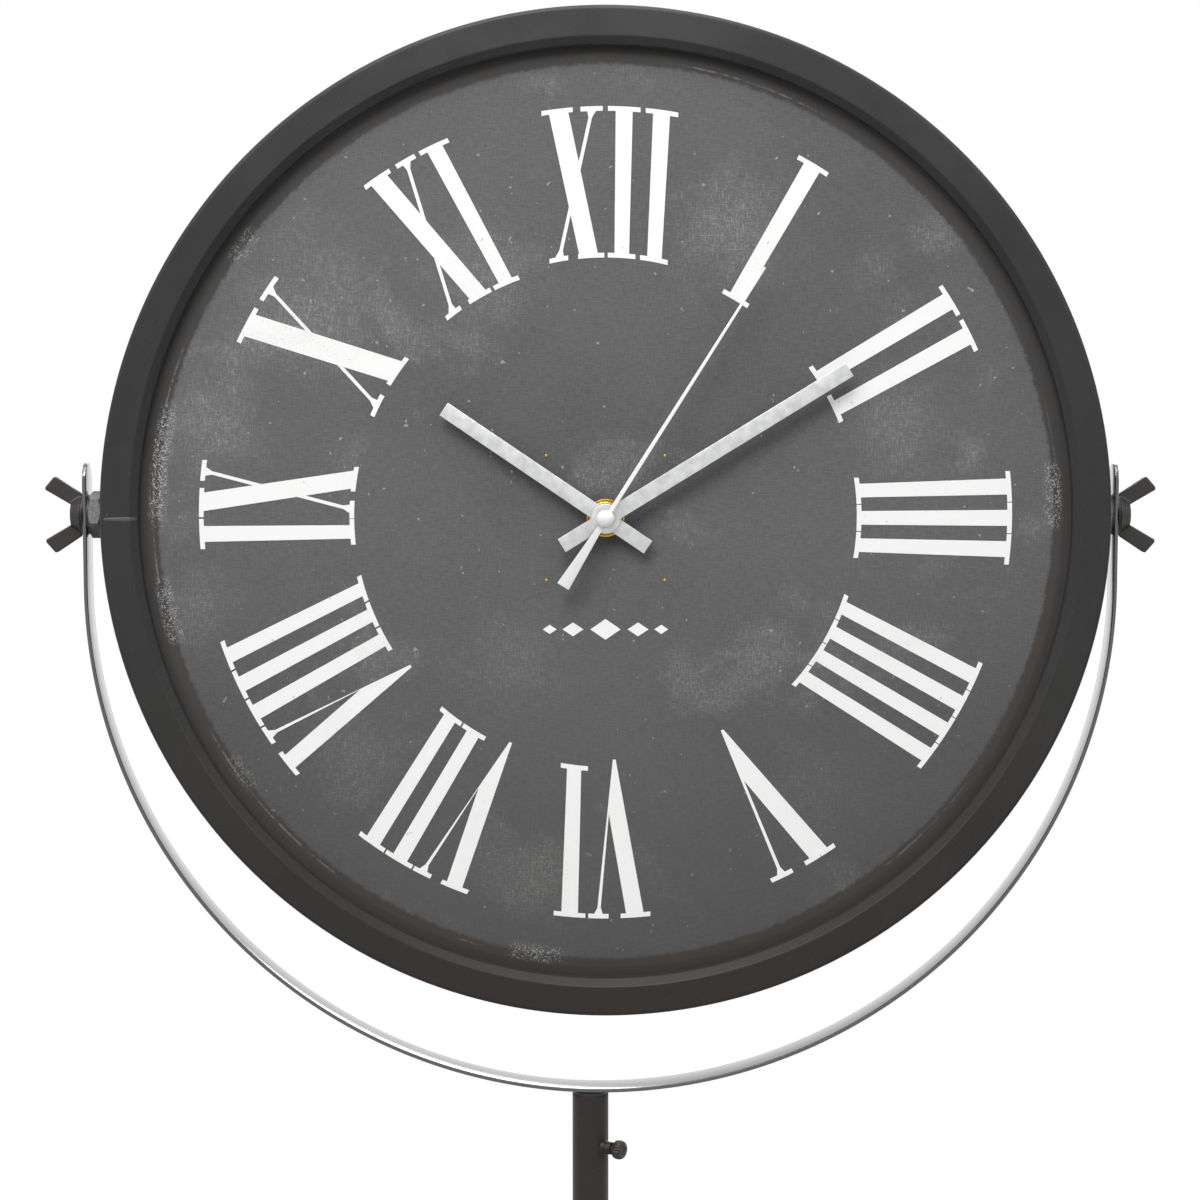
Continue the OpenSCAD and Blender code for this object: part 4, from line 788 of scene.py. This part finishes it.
class CLOCK_OT_case(bpy.types.Operator):
    """Rim with its ground weld, side wall, back cover and its screws"""
    bl_idname = "clock.case"
    bl_label = "Case"

    def execute(self, context):
        s = sizes()
        rim, opening, sheet = s.rim_radius, s.opening_radius, s.sheet
        outer, bevel = s.outer_round, s.bevel
        ease = 0.0004
        flat = 0.0006
        skirt_end = 0.012
        wall_end = DIAL_FACE - HEAD.y
        bevel_back = bevel + sheet * math.tan(math.pi / 8)
        burr = 0.0003
        inside = [(rim, 0), (opening + bevel, 0), (opening, bevel), (opening, wall_end)]
        corners = eased(inside, ease)[4:12]
        round_middle = (rim - outer, outer)
        front = ([(rim, skirt_end - burr), (rim, outer + flat)] + arc(round_middle, outer, 0, -90, 14)
                 + [(rim - outer - flat, 0), (opening + bevel + flat, 0)] + corners[:4]
                 + [(opening + bevel - flat, flat), (opening + flat, bevel - flat)] + corners[4:]
                 + [(opening, wall_end)])
        back = ([(opening + sheet, wall_end), (opening + sheet, bevel_back), (opening + bevel_back, sheet)]
                + arc(round_middle, outer - sheet, -90, 0, 8)
                + [(rim - sheet, skirt_end), (rim - burr, skirt_end)])
        turned("Rim", "case_rim", front + back, HEAD, BACK, "head", "rim_enamel", 34)

        bm = bmesh.new()
        self.weld(bm)
        piece("Rim weld", bm, "head", "rim_enamel", (), 60, finish_name="weld_enamel")

        wall = s.wall_radius
        cover_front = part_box("case_wall")[1].y - HEAD.y
        flange = wall - 0.009
        wall_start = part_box("case_wall")[0].y - HEAD.y
        bend = 0.0016
        profile = ([(wall, wall_start)] + arc((wall - bend, cover_front - bend), bend, 0, 90, 6)
                   + [(flange, cover_front), (flange, cover_front - sheet)]
                   + arc((wall - bend, cover_front - bend), bend - sheet, 90, 0, 4)
                   + [(wall - sheet, wall_start)])
        turned("Side wall", "case_wall", profile, HEAD, BACK, "head", "rim_enamel", 40)

        low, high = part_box("back_cover")
        edge = (high.x - low.x) / 2
        face = high.y - HEAD.y
        lip = low.y - HEAD.y
        hole = 0.055
        bead = 0.150
        half = 0.0045
        deep = 0.0009
        ridge = [(bead + half * x / 4, face - deep * math.cos(x * math.pi / 8) ** 2)
                 for x in range(4, -5, -1)]
        under = [(r, y - sheet) for r, y in reversed(ridge)]
        roll = 0.0015
        rolled = (hole + roll, face - roll)
        profile = ([(edge - burr, face - sheet), (edge, face - sheet + burr), (edge, face - burr),
                    (edge - burr, face)] + ridge + arc(rolled, roll, 90, 180, 6)
                   + [(hole, lip), (hole + sheet, lip)] + arc(rolled, roll - sheet, 180, 90, 3) + under)
        turned("Back cover", "back_cover", profile, HEAD, BACK, "head", "rim_enamel", 40)
        softened("cover_screws", 0.0003, 3)
        softened("dial_clips", 0.00025)
        return {"FINISHED"}

    def weld(self, bm):
        """The low ridge where the rim's ring was welded and ground, at nine o'clock."""
        s = sizes()
        turn = math.radians(179.95)
        half = s.seam_width / 2
        spoke = RIGHT * math.cos(turn) - UP * math.sin(turn)
        across = BACK.cross(spoke)
        first, last = s.rim_radius - 0.0018, s.opening_radius + 0.0006
        steps = 40
        run = []
        for i in range(steps + 1):
            radius = first + (last - first) * i / steps
            over = max(radius - (s.rim_radius - s.outer_round), 0)
            under = max(s.opening_radius + s.bevel - radius, 0)
            run.append((radius, s.outer_round - math.sqrt(s.outer_round ** 2 - over ** 2) + under))
        draw = random.Random(4)
        sunk = 0.0002
        rings = []
        for i, (radius, along) in enumerate(run):
            ahead = Vector(run[min(i + 1, steps)]) - Vector(run[max(i - 1, 0)])
            normal = Vector((ahead.y, -ahead.x)).normalized()
            passed = i / steps
            swell = min(1.0, 12 * passed + 0.3, 16 * (1 - passed) + 0.3)
            width = half * (0.62 + 0.3 * passed + 0.08 * draw.random()) * swell
            height = (0.0006 + 0.0001 * draw.random()) * swell
            ring = []
            for k in range(12):
                a = 2 * math.pi * k / 12
                lift = math.sin(a) * (height if math.sin(a) > 0 else sunk)
                point = Vector((radius, along)) + normal * lift
                ring.append(HEAD + spoke * point.x + BACK * point.y + across * math.cos(a) * width)
            rings.append(ring)
        lofted(bm, rings)
        spatter = HEAD + spoke * (s.rim_radius - 0.0034) + UP * 0.0019 + BACK * 0.00015
        bmesh.ops.create_icosphere(bm, subdivisions=3, radius=0.0005, matrix=Matrix.Translation(spatter))


class CLOCK_OT_dial(bpy.types.Operator):
    """Dial board, numerals and ornament"""
    bl_idname = "clock.dial"
    bl_label = "Dial"

    def execute(self, context):
        low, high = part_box("dial_board")
        radius = (high.x - low.x) / 2
        thick = high.y - low.y
        front = low.y - HEAD.y
        bore = 0.00415
        face_y = low.y + 0.0002
        back = front + thick
        profile = eased([(bore, front), (radius, front), (radius, back), (bore, back)], 0.0003)
        turned("Dial board", "dial_board", profile, HEAD, BACK, "head", "dial_print", 40, 192,
               second="fibreboard", where=lambda face: face.calc_center_median().y > face_y)
        keep("dial_numerals", "dial_ornament")
        return {"FINISHED"}


class CLOCK_OT_hands(bpy.types.Operator):
    """Hands, cap, brass washer and fixing nut"""
    bl_idname = "clock.hands"
    bl_label = "Hands"

    def execute(self, context):
        softened("hour_hand", 0.00019, 3)
        softened("minute_hand", 0.00019, 3)
        softened("second_hand", 0.0001, 2)

        low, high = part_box("hand_cap")
        radius = (high.x - low.x) / 2
        tall = high.y - low.y
        dome = 0.005
        rise = math.asin(radius / dome * 0.97)
        turns = [rise * i / 12 for i in range(1, 13)]
        crown = [(0.0, tall)] + [(dome * math.sin(a), tall - dome + dome * math.cos(a)) for a in turns]
        ease = 0.0001
        profile = crown + [(radius, crown[-1][1] - 0.0004), (radius, ease), (radius - ease, 0.0),
                           (0.0, 0.0)]
        turned("Hand cap", "hand_cap", profile, Vector((HEAD.x, high.y, HEAD.z)), -BACK, "second",
               "white_enamel", steps=64, closed=False)

        low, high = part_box("brass_washer")
        thick = high.y - low.y
        bore, edge, groove = 0.0041, 0.0081, 0.00022
        profile = eased([(bore, 0), (0.0066, 0), (0.0068, groove), (0.0072, groove), (0.0074, 0),
                         (edge, 0), (edge, thick), (bore, thick)], 0.00012)
        turned("Brass washer", "brass_washer", profile, Vector((HEAD.x, low.y, HEAD.z)), BACK, "head",
               "brass", steps=96)

        low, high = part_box("fixing_nut")
        across_flats = 0.01039
        bm = bmesh.new()
        hex_nut(bm, Vector((HEAD.x, high.y, HEAD.z)), -BACK, across_flats, high.y - low.y, bore, 0)
        piece("Fixing nut", bm, "head", "brass", ("fixing_nut",))
        softened("movement_bush", 0.0002)
        softened("housing_pins", 0.0002, 3)
        return {"FINISHED"}


class CLOCK_OT_movement(bpy.types.Operator):
    """Housing, battery, setting knob and the wheel train inside"""
    bl_idname = "clock.movement"
    bl_label = "Movement"

    def execute(self, context):
        softened("movement_case", 0.0003, name="Movement housing")
        softened("movement_cover", 0.0003)
        softened("battery", 0.0006, 3)
        softened("battery_contacts", 0.0002)
        softened("setting_knob", 0.0003)
        softened("movement_gasket", 0.0002, name="Rubber washer")
        keep("drive_coil", "stator", "circuit_board", "quartz_crystal", "rotor", "fifth_wheel",
             "third_wheel", "centre_wheel", "cannon_pinion", "hour_wheel", "second_wheel", "minute_wheel")
        self.ribs()
        return {"FINISHED"}

    def ribs(self):
        """Low ribs and a turn arrow moulded on the housing's back."""
        low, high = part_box("movement_cover")
        back = high.y
        bm = bmesh.new()
        left, right = low.x + 0.004, high.x - 0.004
        foot, crest = back - 0.0002, back + 0.0004
        for height in (0.004, 0.0065, 0.009):
            z = low.z + height
            section = eased([(z, foot), (z + 0.001, foot), (z + 0.001, crest), (z, crest)], 0.0003)
            lofted(bm, [[Vector((x, y, up)) for up, y in section] for x in (left, right)])
        centre = middle("setting_knob")
        radius = span("setting_knob").x / 2 + 0.0022
        for start in (25, 205):
            rings = []
            for i in range(13):
                a = math.radians(start + 110 * i / 12)
                spoke = RIGHT * math.cos(a) + UP * math.sin(a)
                half = 0.0004 if i < 9 else 0.0011 * (12 - i) / 3 + 0.00002
                section = ((-half, -0.0002), (half, -0.0002), (half * 0.8, 0.0003), (-half * 0.8, 0.0003))
                rings.append([Vector((centre.x, back, centre.z)) + spoke * (radius + w) + BACK * h
                              for w, h in section])
            lofted(bm, rings)
        piece("Housing ribs", bm, "head", "black_plastic")


class CLOCK_OT_pivots(bpy.types.Operator):
    """Pivot bolts, spacers, washers, hex nuts and cast wing nuts"""
    bl_idname = "clock.pivots"
    bl_label = "Pivots"

    def execute(self, context):
        softened("pivot_bolts", 0.0004, 3)
        softened("pivot_plates", 0.0004)
        softened("pivot_spacers", 0.0002)
        softened("nylon_washers", 0.00015)
        softened("wing_washers", 0.00025, 3)
        low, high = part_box("hex_nuts")
        thick = 0.0055
        across_flats, bore = 0.018, 0.00305
        lean = math.radians(11.6)
        bm = bmesh.new()
        for side, outside in ((-1, low.x), (1, high.x)):
            axis = RIGHT * side
            origin = Vector((outside - side * thick, PIVOT.y, PIVOT.z))
            flat_turn = self.turn_to_up(axis) - side * lean
            hex_nut(bm, origin, axis, across_flats, thick, bore, flat_turn)
        piece("Hex nuts", bm, "head", "dark_zinc", ("hex_nuts",), 24)
        for side in ("left", "right"):
            self.wing_nut("wing_nut_" + side)
        return {"FINISHED"}

    @staticmethod
    def turn_to_up(axis):
        """Angle around an axis from Blender's own side direction to the corner that points up."""
        side = axis.orthogonal().normalized()
        other = axis.cross(side)
        return math.atan2(UP.dot(other), UP.dot(side)) + math.pi / 6

    def wing_nut(self, node):
        """A casting: the CAD shape remeshed fine and smoothed, so its corners become soft fillets."""
        bm = node_mesh(node)
        made = piece(spoken(node), bm, NODES[node]["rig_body"], slot_of(node), (node,), 180,
                     finish_name="cast_enamel")
        cells = made.modifiers.new("Cells", "REMESH")
        cells.mode = "VOXEL"
        cells.voxel_size = sizes().cast_voxel
        cells.use_smooth_shade = True
        soft = made.modifiers.new("Soft", "SMOOTH")
        soft.factor = 0.5
        soft.iterations = 14
        graph = bpy.context.evaluated_depsgraph_get()
        mesh = bpy.data.meshes.new_from_object(made.evaluated_get(graph))
        made.modifiers.clear()
        made.data = mesh
        for polygon in mesh.polygons:
            polygon.use_smooth = True


class CLOCK_OT_yoke(bpy.types.Operator):
    """The strap with eased edges and round ends, and the inner tube with its guide"""
    bl_idname = "clock.yoke"
    bl_label = "Yoke"

    def execute(self, context):
        low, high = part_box("yoke_strap")
        thick = 0.0017
        width = high.y - low.y
        half_w = width / 2
        half_t = thick / 2
        outside = (high.x - low.x) / 2
        mid = outside - half_t
        bend_z = low.z + outside
        tip_z = high.z
        path = []
        for i in range(1, 13):
            a = math.pi / 2 * i / 12
            place = Vector((-mid, PIVOT.y, tip_z - half_w * (1 - math.cos(a))))
            path.append((place, RIGHT, half_w * math.sin(a)))
        for z in (tip_z - half_w * 1.4, PIVOT.z, bend_z + 0.001):
            path.append((Vector((-mid, PIVOT.y, z)), RIGHT, half_w))
        for i in range(181):
            a = math.pi * i / 180
            inward = RIGHT * math.cos(a) + UP * math.sin(a)
            path.append((Vector((0, PIVOT.y, bend_z)) - inward * mid, inward, half_w))
        for place, inward, half in reversed(path[:15]):
            path.append((Vector((-place.x, place.y, place.z)), -inward, half))
        rings = []
        for place, inward, half in path:
            ease = min(0.0004, half * 0.3)
            section = eased([(-half, -half_t), (half, -half_t), (half, half_t), (-half, half_t)], ease)
            rings.append([place + BACK * y + inward * t for y, t in section])
        bm = bmesh.new()
        lofted(bm, rings)
        piece("Yoke strap", bm, "yoke", "black_enamel", ("yoke_strap",), 50, finish_name="strap_enamel")
        softened("inner_mast", 0.0002, name="Inner tube")
        softened("inner_guide", 0.0002)
        return {"FINISHED"}


class CLOCK_OT_mast(bpy.types.Operator):
    """Outer tube, guide bush, welded boss, lock screw and end cap"""
    bl_idname = "clock.mast"
    bl_label = "Mast"

    def execute(self, context):
        low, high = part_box("outer_mast")
        radius = (high.x - low.x) / 2
        bore = radius - 0.0012
        tall = high.z - low.z
        profile = eased([(bore, 0), (radius, 0), (radius, tall), (bore, tall)], 0.00035)
        turned("Outer tube", "outer_mast", profile, Vector((MAST.x, MAST.y, low.z)), UP, "tripod",
               "black_enamel", steps=96)
        softened("guide_bush", 0.0002, 3)
        softened("mast_cap", 0.0005, 3)
        self.screw(radius)
        return {"FINISHED"}

    def screw(self, radius):
        turn = math.radians(55)
        axis = Vector((math.sin(turn), -math.cos(turn), 0))
        height = middle("screw_boss").z
        origin = Vector((MAST.x, MAST.y, height))
        boss = 0.0028
        end = radius + 0.004
        bore = 0.00205
        profile = [(bore, radius - 0.0011), (boss + 0.0006, radius - 0.0011),
                   (boss + 0.00055, radius - 0.0004), (boss + 0.0003, radius + 0.0001),
                   (boss + 0.0001, radius + 0.0005), (boss, radius + 0.0009), (boss, end - 0.0003),
                   (boss - 0.0003, end), (bore, end)]
        turned("Screw boss", "screw_boss", profile, origin, axis, "tripod", "black_enamel", steps=48)

        start = end + 0.0014
        head = 0.0042
        thick = 0.0044
        top = start + thick
        neck, tip = 0.0020, 0.0063
        flutes = 16
        ring_profile = [(neck, start), (head - 0.0012, start), (head - 0.0003, start + 0.0005),
                        (head, start + 0.0012), (head, top - 0.0012), (head - 0.0004, top - 0.0004),
                        (head - 0.0012, top), (neck, top), (0.0014, top - 0.0006)]
        steps = flutes * 8
        side = axis.orthogonal().normalized()
        other = axis.cross(side)
        bm = bmesh.new()
        rings = []
        for i, (r, along) in enumerate(ring_profile):
            deep = 0.00032 if 2 <= i <= 5 else 0.0
            rings.append([origin + axis * along + (side * math.cos(a) + other * math.sin(a))
                          * (r - deep * (0.5 + 0.5 * math.cos(flutes * a)) ** 2)
                          for a in (2 * math.pi * k / steps for k in range(steps))])
        lofted(bm, rings)
        stem = [(0.0, tip), (neck - 0.0003, tip), (neck, tip + 0.0003), (neck, start + 0.0002),
                (0.0, start + 0.0002)]
        spun(bm, stem, origin, axis, 32, False)
        piece("Lock screw", bm, "lock_screw", "black_enamel", ("lock_screw",), 40,
              finish_name="cast_enamel")


class CLOCK_OT_tripod(bpy.types.Operator):
    """Hub, three legs, their bolts and nuts, and the rubber feet"""
    bl_idname = "clock.tripod"
    bl_label = "Tripod"

    def execute(self, context):
        softened("tripod_hub", 0.0005, 3)
        for side in ("left", "right", "back"):
            softened("leg_" + side, 0.0004)
            softened("foot_" + side, 0.0005, 3, 40.0)
        softened("leg_bolts", 0.0003)
        softened("leg_nuts", 0.0003)
        return {"FINISHED"}


STEPS = (CLOCK_OT_stage, CLOCK_OT_case, CLOCK_OT_dial, CLOCK_OT_hands, CLOCK_OT_movement, CLOCK_OT_pivots,
         CLOCK_OT_yoke, CLOCK_OT_mast, CLOCK_OT_tripod)


class CLOCK_PT_panel(bpy.types.Panel):
    """Lists the clock's steps, sizes and colours"""
    bl_idname = "CLOCK_PT_panel"
    bl_label = "Tripod Floor Clock"
    bl_space_type = "VIEW_3D"
    bl_region_type = "UI"
    bl_category = "Clock"

    def draw(self, context):
        column = self.layout.column(align=True)
        for step in STEPS:
            column.operator(step.bl_idname, text=step.bl_label)
        for settings in (context.scene.clock_sizes, context.scene.clock_colours):
            box = self.layout.box()
            for key in settings.__annotations__:
                box.prop(settings, key)


CLASSES = (ClockSizes, ClockColours) + STEPS + (CLOCK_PT_panel,)


def register():
    for cls in CLASSES:
        bpy.utils.register_class(cls)
    bpy.types.Scene.clock_sizes = PointerProperty(type=ClockSizes)
    bpy.types.Scene.clock_colours = PointerProperty(type=ClockColours)


def unregister():
    del bpy.types.Scene.clock_colours
    del bpy.types.Scene.clock_sizes
    for cls in reversed(CLASSES):
        bpy.utils.unregister_class(cls)


def main():
    register()
    for step in STEPS:
        family, action = step.bl_idname.split(".")
        getattr(getattr(bpy.ops, family), action)()


if __name__ == "__main__":
    main()
